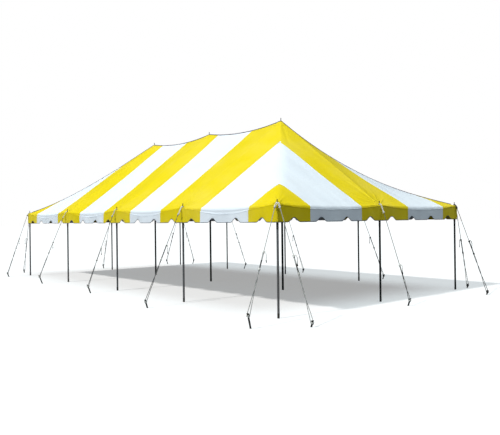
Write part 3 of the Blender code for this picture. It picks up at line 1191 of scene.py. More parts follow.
    def taut_lines(self, x: Array, y: Array) -> Array:
        """What the taut lines add to the cloth.

        Along every hip but the nearest stands a crest, a bell curve of the distance from it. An
        end slope drops in a step behind its middle line, which fades out again towards the hip.
        Beside each hip runs a groove, a bell curve of the distance from a straight line out of
        the peak, which fades in and out along the line.

        Args:
            x: X of the places.
            y: Y of the places.

        Returns:
            How far the cloth lifts there.
        """
        past, across = self.off_peak(x, y)
        hang = hung(self.fall(x, y)) ** 0.5
        spread = np.maximum(self.crest_width * hang, 1e-6)
        nearest = (x > 0) & (y < 0)
        crest = np.where(nearest, 0.0, np.exp(-((past - across) / spread) ** 2))
        behind = np.where(self.on_end(x, y), np.maximum(y, 0.0), 0.0)
        step = (smooth_step(behind / self.step_width)
                * smooth_step((5 * self.step_width - behind) / (4 * self.step_width))
                * smooth_step((past - across) / self.hip_fade))
        start, end = self.pucker_ends
        off_line = (across - self.pucker_turn * past) / self.pucker_width
        fade = smooth_step((past - start) / 0.25) * smooth_step((end - past) / 0.5)
        return (hang * (self.crest_height * crest - self.step_depth * step)
                - self.pucker_depth * np.exp(-off_line ** 2) * fade)

    def height(self, x: Array, y: Array) -> Array:
        """Height of the top of the cloth.

        Pole lines run straight from the peaks to the pins, and the hips sag in a parabola, skewed
        up or down the slope, on their way to the corners. Between two pole lines, or a pole line
        and a hip, the cloth hangs in a parabola. Across a hip the two slopes meet in a hyperbola
        as wide as the hip's rounding. Past the pins the cloth lies level. The folds are added.

        Args:
            x: X of the places.
            y: Y of the places.

        Returns:
            The heights.
        """
        plan = self.plan
        past, across = self.off_peak(x, y)
        fall = self.fall(x, y)
        quarter = (x > 0).astype(int) + 2 * (y > 0).astype(int)
        softness = np.asarray(self.hip_rounds)[quarter] * hung(fall)
        apart = np.abs(across - past)
        eased = (np.sqrt(apart ** 2 + softness ** 2) - apart) / 2
        steepness = (plan.peak_height - plan.pin_height) / plan.half_width
        line = plan.peak_height - steepness * (fall * plan.half_width + eased)
        bay_sag = self.ridge_sag * (1 - fall) + self.eave_sag * fall
        between = line - hung((x / plan.bay) % 1) * bay_sag
        run = np.maximum(np.maximum(across, past), 1e-9)
        place = np.clip(np.minimum(across, past) / run, 0, 1)
        skew = 1 + np.asarray(self.hip_skews)[quarter] * (1 - 2 * fall)
        hip = np.asarray(self.hip_sags)[quarter] * skew
        at_end = line - place * hung(fall) * hip - hung(place) * self.eave_sag * fall
        hangs = np.where(past <= 0, between, at_end)
        return hangs + self.folds(x, y) + self.taut_lines(x, y)

    def points(self, x: Array, y: Array, lift: float = 0.0) -> Array:
        """Points on the cloth, or at a small height over it."""
        return np.stack([x, y, self.height(x, y) + lift], axis=-1)


@dataclass(frozen=True)
class EaveShape:
    """The upright cloth round the tent: the roof's own facing, its seam, and the valance.

    Its methods take a side and an array of places along it, from the side's middle.

    Attributes:
        roof: The shape of the roof above.
        fold_radius: Radius of the fold at a pin.
        roll_radius: How much larger the radius of the fold is halfway between two pins.
        seam_at_pin: How far below the fold the seam lies at a pin.
        seam_droop: How much lower it lies halfway between two pins of a long side.
        end_droop: How much lower it lies halfway between two pins of an end.
        seam_gap: The least distance of the seam below the end of the fold.
        seam_out: How far the valance hangs out from the facing at the seam.
        hollow: How far the facing is drawn in between the fold and the seam.
        sway: How far the hem swings in and out.
        waves: Lengths of the long and the short wave of that swing.
        corner_width: How far from a corner all this fades out, so that the corner stays closed.
        scallops: How many notches a bay has.
        notch_width: Width of a notch at the hem.
        notch_depth: Depth of a notch.
    """

    roof: RoofShape
    fold_radius: float = 0.010
    roll_radius: float = 0.085
    seam_at_pin: float = 0.016
    seam_droop: float = 0.135
    end_droop: float = 0.035
    seam_gap: float = 0.006
    seam_out: float = 0.005
    hollow: float = 0.007
    sway: float = 0.009
    waves: tuple = (1.13, 0.381)
    corner_width: float = 0.15
    scallops: int = 4
    notch_width: float = 0.325
    notch_depth: float = 0.088

    @property
    def slope(self) -> float:
        """The angle at which the roof comes down to the eave."""
        plan = self.roof.plan
        return math.atan2(plan.peak_height - plan.pin_height, plan.half_width)

    def between_pins(self, place: Array) -> Array:
        """A parabola that is 0 at the pins and 1 halfway between two of them."""
        return hung((place / self.roof.plan.bay) % 1)

    def corner_fade(self, side: Side, place: Array) -> Array:
        """0 at the ends of a side and 1 a hand's width in."""
        return smooth_step((self.roof.plan.eave_half(side) - np.abs(place)) / self.corner_width)

    def radius(self, side: Side, place: Array) -> Array:
        """Radius of the fold, larger in the middle of each bay."""
        wide = self.between_pins(place) * self.corner_fade(side, place)
        return self.fold_radius + self.roll_radius * wide

    def inset(self, side: Side, place: Array) -> Array:
        """How far inside the eave the fold begins."""
        return self.radius(side, place) * (1 - math.sin(self.slope))

    def fold_height(self, side: Side, place: Array) -> Array:
        """Height of the cloth where the fold begins."""
        reach = self.roof.plan.out(side) - self.inset(side, place)
        return self.roof.height(*np.broadcast_arrays(*side.plan_place(place, reach)))

    def seam_drop(self, side: Side, place: Array) -> Array:
        """How far the seam lies below where the fold begins.

        It dips by the square of the parabola between two pins, which is narrow, and it is never
        above the end of the fold.

        Args:
            side: The side.
            place: Places along it.

        Returns:
            The distances.
        """
        droop = self.end_droop if side.along else self.seam_droop
        dip = self.between_pins(place) ** 2
        drop = self.seam_at_pin + droop * dip * self.corner_fade(side, place)
        return np.maximum(drop, self.radius(side, place) * math.cos(self.slope) + self.seam_gap)

    def facing(self, side: Side, place: Array, down: Array) -> Array:
        """Points of the roof's own facing.

        The first half turns over the fold in an arc, from the roof's slope to upright, and the
        rest hangs, drawn in by a sine and let out to the seam.

        Args:
            side: The side.
            place: Places along it.
            down: Shares of the way from the fold, 0, to the seam, 1.

        Returns:
            The points.
        """
        radius = self.radius(side, place)
        turn = self.slope + np.minimum(down * 2, 1) * (math.pi / 2 - self.slope)
        hang = np.clip(2 * down - 1, 0, 1)
        rolled = radius * (math.cos(self.slope) - np.cos(turn))
        left = self.seam_drop(side, place) - radius * math.cos(self.slope)
        height = self.fold_height(side, place) - rolled - hang * left
        drawn = self.seam_out * hang - self.hollow * np.sin(math.pi * hang)
        out = (self.roof.plan.out(side) - radius * (1 - np.sin(turn))
               + drawn * self.corner_fade(side, place))
        return side.points(place, out, height)

    def hem_height(self, side: Side, place: Array) -> Array:
        """Height of the hem: level, with a bell-shaped notch in each scallop.

        Args:
            side: The side.
            place: Places along it.

        Returns:
            The heights.
        """
        pitch = self.roof.plan.bay / self.scallops
        half = self.roof.plan.half_width if side.along else self.roof.plan.half_length
        from_middle = ((place + half) / pitch) % 1 - 0.5
        share = np.clip(from_middle * pitch / (self.notch_width / 2), -1, 1)
        inside = np.abs(place) < half
        return (self.roof.plan.hem_height
                + inside * self.notch_depth * (1 + np.cos(math.pi * share)) / 2)

    def valance(self, side: Side, place: Array, down: Array) -> Array:
        """Points of the valance.

        It swings in and out by two sines of the place that grow on the way down, and curls out
        a little at its hem between the notches.

        Args:
            side: The side.
            place: Places along it.
            down: Shares of the way from the seam, 0, to the hem, 1.

        Returns:
            The points.
        """
        top = self.fold_height(side, place) - self.seam_drop(side, place)
        height = top + down * (self.hem_height(side, place) - top)
        phase = 1.3 * side.facing + 2.1 * side.along
        long, short = self.waves
        swing = (0.65 * np.sin(math.tau * place / long + phase)
                 + 0.35 * np.sin(math.tau * place / short + 2 * phase))
        curl = 0.4 * np.cos(math.tau * place * self.scallops / self.roof.plan.bay) * down ** 3
        out = (self.roof.plan.out(side) + (self.seam_out + self.sway * down * (swing + curl))
               * self.corner_fade(side, place))
        return side.points(place, out, height)

    def stripe(self, side: Side, place: Array) -> Array:
        """The stripe number at the eave."""
        x, y = side.plan_place(place, np.full_like(place, self.roof.plan.out(side)))
        return self.roof.stripe(x, y, bool(side.along))


# The cloth


@dataclass
class Canopy:
    """The striped cover: one sheet over both slopes and both ends, with its welds and patches.

    Attributes:
        roof: The hung shape.
        eave: The shape of its upright edge.
        fine: Cell of the sheet near poles, ridge and eave.
        coarse: Cell of the sheet elsewhere.
        thickness: Thickness of the cloth as it shows at its edge.
        weld_width: Width of a welded overlap.
        weld_lift: How proud a welded overlap stands.
        seam_width: Width of the overlap down each hip.
        tape_width: Width of the webbing on the ridge and hips.
        tape_height: How high it stands.
        pin_patch: Reach of the doubled patch round a side pin.
        peak_patch: Reach of the doubled patch round a peak.
        patch_lift: How far a patch stands over the cloth.
        patch_margin: How far inside the eave it ends.
        patch_thickness: Thickness of a patch.
        eyelet: An eyelet's outline, as distances from the pin and heights over the cloth.
    """

    roof: RoofShape
    eave: EaveShape
    fine: float = 0.026
    coarse: float = 0.075
    thickness: float = 0.0022
    weld_width: float = 0.034
    weld_lift: float = 0.0012
    seam_width: float = 0.026
    tape_width: float = 0.022
    tape_height: float = 0.024
    pin_patch: float = 0.13
    peak_patch: float = 0.17
    patch_lift: float = 0.0019
    patch_margin: float = 0.012
    patch_thickness: float = 0.0014
    eyelet: tuple = ((0.0105, -0.007), (0.021, -0.0065), (0.0235, -0.0035), (0.0235, 0.004),
                     (0.021, 0.0072), (0.0145, 0.0082), (0.0105, 0.0065), (0.0105, -0.007))

    def columns(self) -> list:
        """The sheet's columns, side by side round the tent.

        Returns:
            For each side, where its columns start along the ridge or at a peak, and how far each
            moves along for each metre out, corner to corner.
        """
        plan = self.roof.plan
        half = spaced(0, plan.bay, self.fine, self.coarse, 0.35)
        ridge = np.concatenate([-half[::-1], half[1:]])
        fan = spaced(0, 1, self.fine / plan.bay, self.coarse / plan.bay, 0.12)
        rounds = []
        for side in Side:
            peak, middle = (0.0, np.zeros(1)) if side.along else (plan.peak_x, ridge)
            start = np.concatenate([np.full(len(fan) - 1, -peak), middle,
                                    np.full(len(fan) - 1, peak)])
            lead = np.concatenate([-fan[:0:-1], 0 * middle, fan[1:]])
            turn = -1 if side in (Side.BACK, Side.LEFT_END) else 1
            rounds.append((side, start[::turn], lead[::turn]))
        return rounds

    def sheet(self) -> Surface:
        """The whole sheet: out from the ridge and the peaks, over the eave and down its facing.

        Across, the grid's lines start on the ridge, or fan out of a peak to the hips. Down, they
        are level rings at a growing distance from the ridge, and then the rows of the facing.

        Returns:
            The open surface.
        """
        plan = self.roof.plan
        share = spaced(0, 1, self.fine / plan.eave_run, self.coarse / plan.eave_run, 0.11)
        down = np.array([0.1, 0.2, 0.3, 0.4, 0.5, 0.66, 0.83, 1.0])
        length = plan.slope_length
        distance = np.concatenate([share * length, length + 0.05 + 0.12 * down])
        parts = []
        for side, start, lead in self.columns():
            end = start + lead * plan.eave_run
            run = share[:, None] * (plan.eave_run - self.eave.inset(side, end))
            x, y = side.plan_place(start + lead * run, run + (plan.peak_x if side.along else 0))
            top = self.roof.points(x, y)
            low = self.eave.facing(side, end[None], down[:, None])
            low[..., side.along] -= lead * (plan.out(side) - side.facing * low[..., 1 - side.along])
            stripe = np.vstack([self.roof.stripe(x, y, bool(side.along)),
                                np.repeat(self.eave.stripe(side, end)[None], len(down), axis=0)])
            uv = np.stack(np.broadcast_arrays(stripe, distance[:, None]), axis=-1)
            parts.append(Surface.grid(np.concatenate([top, low]), uv))
        return Surface.joined(parts)

    def weld_lines(self) -> list:
        """The plan lines of the welds on each side, from ridge or hip to eave.

        Returns:
            For each weld, its side and its x and y.
        """
        roof, plan = self.roof, self.roof.plan
        lines = []
        for side in Side:
            on_end, seen = bool(side.along), side in (Side.FRONT, Side.RIGHT_END)
            for even in roof.seams_on_end if on_end else roof.seams:
                hip = max(0.0, abs(even) - (0 if on_end else plan.peak_x / plan.bay))
                fall = np.linspace(max(hip - 0.03, 0.004), 1, 60)
                place = (even + roof.weld_shift(even, fall, on_end, seen)) * plan.bay
                x, y = side.plan_place(place,
                                       plan.half_width * fall + (plan.peak_x if on_end else 0))
                inside = roof.on_end(x, y) == on_end
                lines.append((side, x[inside], y[inside]))
        return lines

    def welds(self) -> Surface:
        """A thin flat strip over each weld, from the ridge or hip down to the eave's seam.

        Returns:
            All the strips.
        """
        bay = self.roof.plan.bay
        profile = rounded_box(self.weld_width, 2 * self.weld_lift, 0.8 * self.weld_lift)
        down = np.array([0.02, 0.15, 0.3, 0.5, 0.75, 1.0])
        rolled = np.minimum(down[:, None] * 2, 1) * (math.pi / 2 - self.eave.slope)
        parts = []
        for side, x, y in self.weld_lines():
            end = y[-1:] if side.along else x[-1:]
            path = np.vstack([self.roof.points(x, y), self.eave.facing(side, end, down)])
            turn = np.vstack([np.zeros((len(x), 1)), rolled]) + self.eave.slope
            number = np.round(2 * end[0] / bay - 0.5) + 0.46
            parts.append(swept(path, np.cos(turn) * UP + np.sin(turn) * side.outward, profile,
                               along=np.full(len(path), number)))
        return Surface.joined(parts)

    def hip_seams(self) -> Surface:
        """A flat overlap down each of the four hips.

        Returns:
            All four.
        """
        plan = self.roof.plan
        run = np.linspace(0, plan.eave_run - 0.01, 120)
        high = 2 * self.weld_lift
        profile = rounded_box(self.seam_width, high, high * 0.45)
        parts = []
        for facing_x, facing_y in ((-1, -1), (-1, 1), (1, -1), (1, 1)):
            x, y = facing_x * (plan.peak_x + run), facing_y * run
            parts.append(swept(self.roof.points(x, y), UP, profile,
                               along=self.roof.stripe(x, y, False)))
        return Surface.joined(parts)

    def tapes(self) -> Surface:
        """The webbing sewn along the crest of the ridge and of the hips that stand taut, dark as
        painted shade along those crests.

        Returns:
            All of it.
        """
        peak_x = self.roof.plan.peak_x
        ridge = np.linspace(-peak_x, peak_x, 160)
        run = np.linspace(0, self.roof.plan.half_width - 0.06, 120)
        lines = [(ridge, 0 * ridge)] + [(facing_x * (peak_x + run), facing_y * run)
                                        for facing_x, facing_y in ((-1, -1), (-1, 1), (1, 1))]
        profile = rounded_box(self.tape_width, self.tape_height, self.tape_height * 0.4)
        return Surface.joined(swept(self.roof.points(x, y, self.tape_height * 0.25), UP, profile)
                              for x, y in lines)

    def patches(self) -> Surface:
        """A doubled patch of cloth round every pin and peak.

        Each is a square grid pulled towards a circle, the larger side shrunk where both are
        large, laid on the roof and held inside the eave.

        Returns:
            All the patches, as open surfaces.
        """
        plan = self.roof.plan
        line = np.linspace(-1, 1, 17)
        u, v = np.meshgrid(line, line, indexing="ij")
        round_u, round_v = u * np.sqrt(1 - v * v / 2.6), v * np.sqrt(1 - u * u / 2.6)
        limit_x, limit_y = (plan.out(side) - self.patch_margin
                            for side in (Side.RIGHT_END, Side.FRONT))
        parts = []
        for (x0, y0), reach in ([(pin, self.pin_patch) for pin in plan.pins()]
                                + [(peak, self.peak_patch) for peak in plan.peaks()]):
            x = np.clip(x0 + reach * round_u, -limit_x, limit_x)
            y = np.clip(y0 + reach * round_v, -limit_y, limit_y)
            uv = np.stack([(x - x0) * 2 / plan.bay, y - y0], axis=-1)
            parts.append(Surface.grid(self.roof.points(x, y, self.patch_lift), uv))
        return Surface.joined(parts)

    def eyelets(self) -> Surface:
        """A rolled steel eyelet round every pin, above and below the cloth."""
        pins = np.vstack([self.roof.plan.pins(), self.roof.plan.peaks()])
        return Surface.joined(turned(self.eyelet, 28, top) for top in self.roof.points(*pins.T))

    def build(self) -> None:
        """Make and dress the cover, its welds, seams, patches and eyelets."""
        cover = self.sheet().piece("canopy_cover")
        thicken(cover, self.thickness)
        dress(cover, "canopy_vinyl", Finish.VINYL, Finish.VINYL_INSIDE)
        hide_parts(*("canopy_" + side.label for side in Side))
        for surface, name, finish in ((self.welds(), "panel_welds", Finish.VINYL),
                                      (self.hip_seams(), "hip_seams", Finish.VINYL),
                                      (self.tapes(), "ridge_and_hip_tapes", Finish.SEAM_TAPE)):
            dress(surface.piece(name), "canopy_vinyl", finish)
        patches = self.patches().piece("pin_patches")
        thicken(patches, self.patch_thickness)
        dress(patches, "canopy_vinyl", Finish.VINYL, Finish.VINYL_INSIDE)
        dress(self.eyelets().piece("pin_eyelets"), "galvanised_steel", Finish.BRIGHT_STEEL)


@dataclass
class Valance:
    """The striped strips that hang from the eave's seam, with their seam and bound hem.

    Attributes:
        eave: The shape of the upright cloth.
        thickness: Thickness of the cloth.
        tape_height: Height of the sewn seam.
        tape_depth: How proud the sewn seam stands.
        binding_height: Height of the hem's binding.
        binding_depth: Thickness of the hem's binding.
    """

    eave: EaveShape
    thickness: float = 0.002
    tape_height: float = 0.017
    tape_depth: float = 0.009
    binding_height: float = 0.011
    binding_depth: float = 0.0045

    def places(self, side: Side) -> Array:
        """Places along a side, evenly set and close enough to draw the notches."""
        half = self.eave.roof.plan.eave_half(side)
        return np.linspace(-half, half, round(2 * half / self.eave.roof.plan.bay * 132) + 1)

    def strip(self, side: Side) -> Surface:
        """One strip, as the grid of places along and shares of the way down.

        Args:
            side: The side that it hangs on.

        Returns:
            The open surface, from the seam to the hem.
        """
        place = self.places(side)[None]
        down = np.linspace(0, 1, 15)[:, None]
        uv = np.broadcast_arrays(self.eave.stripe(side, place), down * 0.3)
        return Surface.grid(self.eave.valance(side, place, down), np.stack(uv, axis=-1))

    def edge(self, side: Side, down: float, height: float, depth: float) -> Surface:
        """A band carried along the strip.

        Args:
            side: The side that the strip hangs on.
            down: The share of the way from the seam to the hem.
            height: The band's height.
            depth: How proud of the strip it stands, on both faces together.

        Returns:
            The closed band.
        """
        place = self.places(side)
        path = self.eave.valance(side, place, np.full(place.shape, down))
        return swept(path, side.outward, rounded_box(height, depth, depth * 0.4),
                     along=self.eave.stripe(side, place))

    def build(self) -> None:
        """Make and dress the four strips, the seam above them and the binding below."""
        plan = self.eave.roof.plan
        for side in Side:
            strip = self.strip(side).piece("valance_strip_" + side.label)
            thicken(strip, self.thickness, offset=0.0)
            dress(strip, "valance_vinyl", Finish.VINYL, Finish.VINYL_INSIDE)
            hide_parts("valance_" + side.label)
            seam = self.edge(side, 0.0, self.tape_height, self.tape_depth)
            seam = seam.piece("eave_seam_" + side.label)
            dress(seam, "valance_vinyl", Finish.VINYL)
            hem = self.edge(side, 1.0, self.binding_height, self.binding_depth)
            hem.uv[..., 0] *= plan.bay / 2
            hem = hem.piece("hem_binding_" + side.label)
            dress(hem, "valance_vinyl", Finish.BINDING)
            length, drop = 2 * plan.eave_half(side), plan.pin_height - plan.hem_height
            middle_drop = drop - self.eave.seam_at_pin - 0.55 * self.eave.seam_droop
            length * middle_drop * 0.93


# Poles and stakes


class PoleKind(Enum):
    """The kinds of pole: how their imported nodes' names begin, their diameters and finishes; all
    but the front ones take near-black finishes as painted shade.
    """

    FRONT = ("side_pole_front", 0.046, Finish.GALVANISED)
    SIDE = ("side_pole", 0.046, Finish.DULL_TUBE)
    CENTRE = ("centre_pole", 0.056, Finish.DARK_TUBE)

    @property
    def radius(self) -> float:
        """Half the diameter."""
        return self.value[1] / 2

    @property
    def finish(self) -> Finish:
        """The finish of its tube."""
        return self.value[2]

    @classmethod
    def of(cls, node: str) -> Optional["PoleKind"]:
        """The kind of pole that a node is, or None where it is no pole."""
        return next((kind for kind in cls if node.startswith(kind.value[0])), None)


@dataclass
class Pole:
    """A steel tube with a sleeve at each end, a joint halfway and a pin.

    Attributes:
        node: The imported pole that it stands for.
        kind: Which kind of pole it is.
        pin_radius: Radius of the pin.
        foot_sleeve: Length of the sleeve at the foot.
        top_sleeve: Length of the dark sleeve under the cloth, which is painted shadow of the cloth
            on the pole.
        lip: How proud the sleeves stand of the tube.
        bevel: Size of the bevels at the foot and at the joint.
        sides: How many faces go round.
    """

    node: str
    kind: PoleKind
    pin_radius: float = 0.0095
    foot_sleeve: float = 0.09
    top_sleeve: float = 0.46
    lip: float = 0.0012
    bevel: tuple = (0.003, 0.0006)
    sides: int = 32

    def outline(self, shoulder: float, tip: float) -> tuple:
        """The pole's outline from its foot to its pin's tip.

        Args:
            shoulder: Height of the tube's top end.
            tip: Height of the pin's tip.

        Returns:
            The outline, as pairs of radius and height, and the slot of each of its stretches.
        """
        radius, pin, tube = self.kind.radius, self.pin_radius, self.kind.radius - self.lip
        foot_bevel, joint_bevel = self.bevel
        joint, top = shoulder * 0.5, shoulder - self.top_sleeve
        ring, ring_height = radius - 0.0003, 0.006
        foot = [(0, 0), (radius - foot_bevel, 0), (radius, foot_bevel), (radius, self.foot_sleeve)]
        shaft = [(tube, self.foot_sleeve + self.lip), (tube, joint), (ring, joint + joint_bevel),
                 (ring, joint + ring_height), (tube, joint + ring_height + joint_bevel),
                 (tube, top)]
        crown = [(radius, top + self.lip), (radius, shoulder - 0.0022),
                 (radius - 0.0022, shoulder), (pin + 0.004, shoulder), (pin, shoulder + 0.004),
                 (pin, tip - 0.005), (pin - 0.0015, tip - 0.0015), (pin - 0.004, tip), (0, tip)]
        # The top sleeve's dark finish is painted shadow of the cloth; the foot sleeve and the pin
        # share it.
        slots = [1] * len(foot) + [0] * (len(shaft) - 1) + [1] * len(crown)
        return foot + shaft + crown, slots

    def build(self) -> None:
        """Turn the pole about its axis and dress it."""
        corners, middle = corners_of(self.node), middle_of(self.node)
        wide = np.hypot(*(corners[:, :2] - middle).T) > 0.7 * self.kind.radius
        profile, slots = self.outline(corners[wide, 2].max(), corners[:, 2].max())
        obj = turned(profile, self.sides, (*middle, 0.0), slots).piece(
            self.node.replace("pole", "tube_pole"), smooth=35)
        dress(obj, "galvanised_steel", self.kind.finish, Finish.SLEEVE)
        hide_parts(self.node)


@dataclass
class Stake:
    """A leaning steel stake with a mushroomed head.

    Attributes:
        node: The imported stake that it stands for.
        radius: Radius of the shank.
        head_radius: Radius of the head.
        head_height: Height of the head.
    """

    node: str
    radius: float = 0.0165
    head_radius: float = 0.0215
    head_height: float = 0.014

    def axis(self) -> tuple:
        """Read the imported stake.

        Returns:
            The plan place of its foot, how it leans for each metre up, and its height.
        """
        corners = corners_of(self.node)
        height = corners[:, 2].max()
        rims = corners[corners[:, 2] < 1e-4, :2], corners[corners[:, 2] > height - 1e-4, :2]
        foot, head = ((rim.min(0) + rim.max(0)) / 2 for rim in rims)
        return foot, (head - foot) / height, height

    def build(self) -> None:
        """Turn the stake about its leaning axis and dress it."""
        foot, lean, height = self.axis()
        radius, head = self.radius, self.head_radius
        neck = height - self.head_height
        profile = [(0, 0), (radius, 0), (radius, neck - 0.004), (radius + 0.001, neck - 0.001),
                   (head - 0.001, neck), (head, neck + 0.002), (head, height - 0.005),
                   (head - 0.0015, height - 0.0018), (head - 0.005, height - 0.0005),
                   (0.005, height), (0, height)]
        obj = turned(profile, 24, (*foot, 0.0), lean=lean).piece(
            self.node.replace("stake", "steel_stake"), smooth=35)
        dress(obj, "dark_steel", Finish.BLACK_STEEL)
        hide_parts(self.node)


# Guys


@dataclass
class Guy:
    """One guy, from its pin to its stake.

    An eye of doubled rope hangs over the pin and ends in a knot under the eave. A single rope
    runs from it to a second knot, whose loose tail hangs down. Two strands lead from there to a
    black tightener, and two more from the tightener to the stake, twisted about each other and
    parting towards the stake, where they are made fast with a few turns.

    Attributes:
        name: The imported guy's name without its first word.
        plan: The tent's plan.
        diameter: Diameter of the rope.
        lay: Turns of the rope's own strands for each metre.
        step: Distance between the rope's sections.
        pin_radius: Radius of the pin that the eye is on.
        stake_radius: Radius of the stake that the guy goes round.
        eye_drop: How far below the eave the eye's knot lies.
        corner_eye_drop: The same at a corner, where two guys share the pin.
        loop_length: Length of the two strands over the tightener.
        tail_length: Length of the loose tail.
        tightener_width: Width of the tightener.
        twist: Turns of the two lower strands about each other for each metre.
    """

    name: str
    plan: Plan
    diameter: float = 0.015
    lay: float = 15.0
    step: float = 0.008
    pin_radius: float = 0.0095
    stake_radius: float = 0.0165
    eye_drop: float = 0.18
    corner_eye_drop: float = 0.075
    loop_length: float = 0.15
    tail_length: float = 0.19
    tightener_width: float = 0.026
    twist: float = 0.9

    @property
    def at_corner(self) -> bool:
        """Whether the guy is one of the two at a corner."""
        return "corner" in self.name

    @property
    def pole(self) -> str:
        """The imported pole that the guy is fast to."""
        return "side_pole_" + (self.name.rsplit("_", 1)[0] if self.at_corner else self.name)

    @property
    def radius(self) -> float:
        """Half the rope's diameter."""
        return self.diameter / 2

    def reach(self, pin: Array, away: Array) -> float:
        """Distance in plan from the pin, along the guy, to the eave that it crosses first.

        Args:
            pin: The pin's plan place.
            away: The unit vector from the pin to the stake, in plan.

        Returns:
            The distance.
        """
        half = np.array([self.plan.half_length, self.plan.half_width])
        on_rim = np.abs(np.abs(pin) - half) < 0.01
        outward = np.max(np.where(on_rim, away * np.sign(pin), 0))
        return (self.plan.eave_run - self.plan.half_width) / outward

    def tightener(self, edge: Array, tie: Array) -> tuple:
        """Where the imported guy's tightener begins and ends.

        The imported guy's corners that stand off its line by nearly half the tightener's width are
        the tightener's own.

        Args:
            edge: Where the guy crosses the eave.
            tie: Where it meets the stake.

        Returns:
            The two places, as shares of the way from edge to tie.
        """
        corners, run = corners_of("guy_" + self.name), tie - edge
        share = (corners - edge) @ run / (run @ run)
        off_line = np.linalg.norm(corners - edge - share[:, None] * run, axis=1)
        wide = share[(off_line > 0.45 * self.tightener_width) & (share > 0.3) & (share < 0.93)]
        return wide.min(), wide.max()

    def strand_outline(self) -> Array:
        """The outline of three round strands laid together: the farthest reach of the nearest
        one, c cos a + sqrt(s^2 - c^2 sin^2 a), at twelve angles.

        Returns:
            The outline's points.
        """
        strand = self.radius / (1 + 2 / math.sqrt(3))
        centre = self.radius - strand
        angle = np.linspace(0, math.tau, 12, endpoint=False)
        near = (angle + math.pi / 3) % (math.tau / 3) - math.pi / 3
        inside = np.maximum(strand ** 2 - (centre * np.sin(near)) ** 2, 0)
        reach = np.maximum(centre * np.cos(near) + np.sqrt(inside), 0.62 * self.radius)
        return np.stack([reach * np.cos(angle), reach * np.sin(angle)], axis=1)

    def rope(self, points: Sequence, normals: Sequence, slot: int = 0) -> Surface:
        """Laid rope along a smooth curve through the points, with a normal at each."""
        path, carried = smooth_path(points, self.step, normals)
        return swept(path, carried, self.strand_outline(), twist=self.lay, slot=slot)

    def coil(self, middle: Array, axis: Array, radius: float, turns: float,
             start: Array) -> Surface:
        """Rope wound round an axis: a helix whose pitch is the rope's own diameter.

        Args:
            middle: The middle of the coil.
            axis: The direction of its axis.
            radius: Radius of the rope's own line.
            turns: How many turns it has.
            start: The direction in which it starts, seen from the axis.

        Returns:
            The coil.
        """
        axis = unit(axis)
        first = unit(start - axis * np.dot(start, axis))
        second = np.cross(axis, first)
        angle = np.linspace(0, math.tau * turns, max(10, round(turns * 14)))[:, None]
        radial = first * np.cos(angle) + second * np.sin(angle)
        rise = (angle / math.tau - turns / 2) * self.diameter * 0.96
        return swept(middle + radius * radial + axis * rise, radial, self.strand_outline(),
                     twist=self.lay)

    def knot(self, middle: Array, pull: Array, across: Array) -> Surface:
        """A knot: turns round the rope, and one slanting turn over them.

        Args:
            middle: The middle of the knot.
            pull: The direction of the rope.
            across: A direction across it.

        Returns:
            The knot.
        """
        wound = self.coil(middle, pull, self.radius * 2.0, 2.6, across)
        over = self.coil(middle, unit(across + 0.8 * pull), self.radius * 2.1, 1.3, pull)
        return Surface.joined([wound, over])

    def eye(self, centre: Array, edge: Array, knot: Array, outward: Array,
            sideways: Array) -> Surface:
        """The doubled rope from the knot up over the eave and round the pin.

        Args:
            centre: The middle of the loop round the pin.
            edge: Where the guy crosses the eave.
            knot: Where the eye's knot lies.
            outward: The level unit vector from the pin to the stake.
            sideways: The level unit vector across it.

        Returns:
            The rope.
        """
        around = self.pin_radius + self.radius + 0.0005
        gap = self.radius * 1.15
        over_eave = edge + UP * (self.radius + 0.004) - outward * 0.012
        legs = [[(knot + lean * gap, outward),
                 ((knot + edge) / 2 + lean * gap * 1.5, outward),
                 (edge + outward * 0.004 + lean * gap * 1.4, outward + UP),
                 (over_eave + lean * around * 0.95, UP),
                 (centre + outward * around * 0.4 + lean * around, UP)]
                for lean in (-sideways, sideways)]
        back = [(centre - outward * around * far + sideways * around * across, UP)
                for far, across in ((0.75, -0.72), (1.02, 0.0), (0.75, 0.72))]
        points, normals = zip(*(legs[0] + back + legs[1][::-1]))
        return self.rope(points, normals)

    def tail(self, start: Array, pull: Array, sideways: Array, off: Array) -> list:
        """The loose end that hangs from the second knot, whipped with dark twine at its tip.

        Args:
            start: The middle of the knot.
            pull: The unit vector down the guy.
            sideways: The level unit vector across it.
            off: The unit vector that stands off it, upwards.

        Returns:
            The rope and the whipping.
        """
        out = sideways + 0.4 * off
        points = [start, start + out * 0.035 - pull * 0.012]
        points += [start + out * swing - UP * share * self.tail_length
                   for swing, share in ((0.062, 0.3), (0.058, 0.75), (0.066, 1.0))]
        band = np.linspace(0.0, 0.045, 4)[:, None] * unit(points[-2] - points[-1]) + points[-1]
        return [self.rope(points, [off] * len(points)),
                swept(band, off, circle(1.15 * self.radius, 10), slot=1)]

    def pair(self, start: Array, stop: Array, sideways: Array, off: Array, turns: float,
             parting: float) -> list:
        """Two strands side by side, twisted about each other and parting towards the stop.

        Args:
            start: Where they start.
            stop: Where they stop.
            sideways: The unit vector on whose two sides they start.
            off: The unit vector across it and across their run.
            turns: How many turns they make.
            parting: How far each stands off the middle at the stop.

        Returns:
            The two strands.
        """
        share = np.linspace(0, 1, 28)[:, None]
        turn = math.tau * turns * smooth_step(share / 0.75)
        gap = self.radius * 1.1
        spread = gap + (parting - gap) * np.clip((share - 0.55) / 0.45, 0, 1)
        swing = np.cos(turn) * sideways + np.sin(turn) * off
        strands = []
        for side in (-1, 1):
            path, _ = smooth_path(start + (stop - start) * share + side * spread * swing, self.step)
            strands.append(swept(path, off, self.strand_outline(), twist=self.lay, slot=2))
        return strands

    @property
    def finishes(self) -> tuple:
        """The finishes of the guy: its runs are darkened as painted shade, least at the front right
        corner, and the back guys are near black all over as painted shade.

        Returns:
            The finish of its knots and that of its runs.
        """
        if self.name.startswith("back"):
            return Finish.DULL_ROPE, Finish.DULL_ROPE
        # Painted shade: the front right corner's runs are darkened least.
        clean = self.name.startswith("front_right_corner")
        return Finish.ROPE, Finish.CLEAN_RUN if clean else Finish.SOILED_RUN

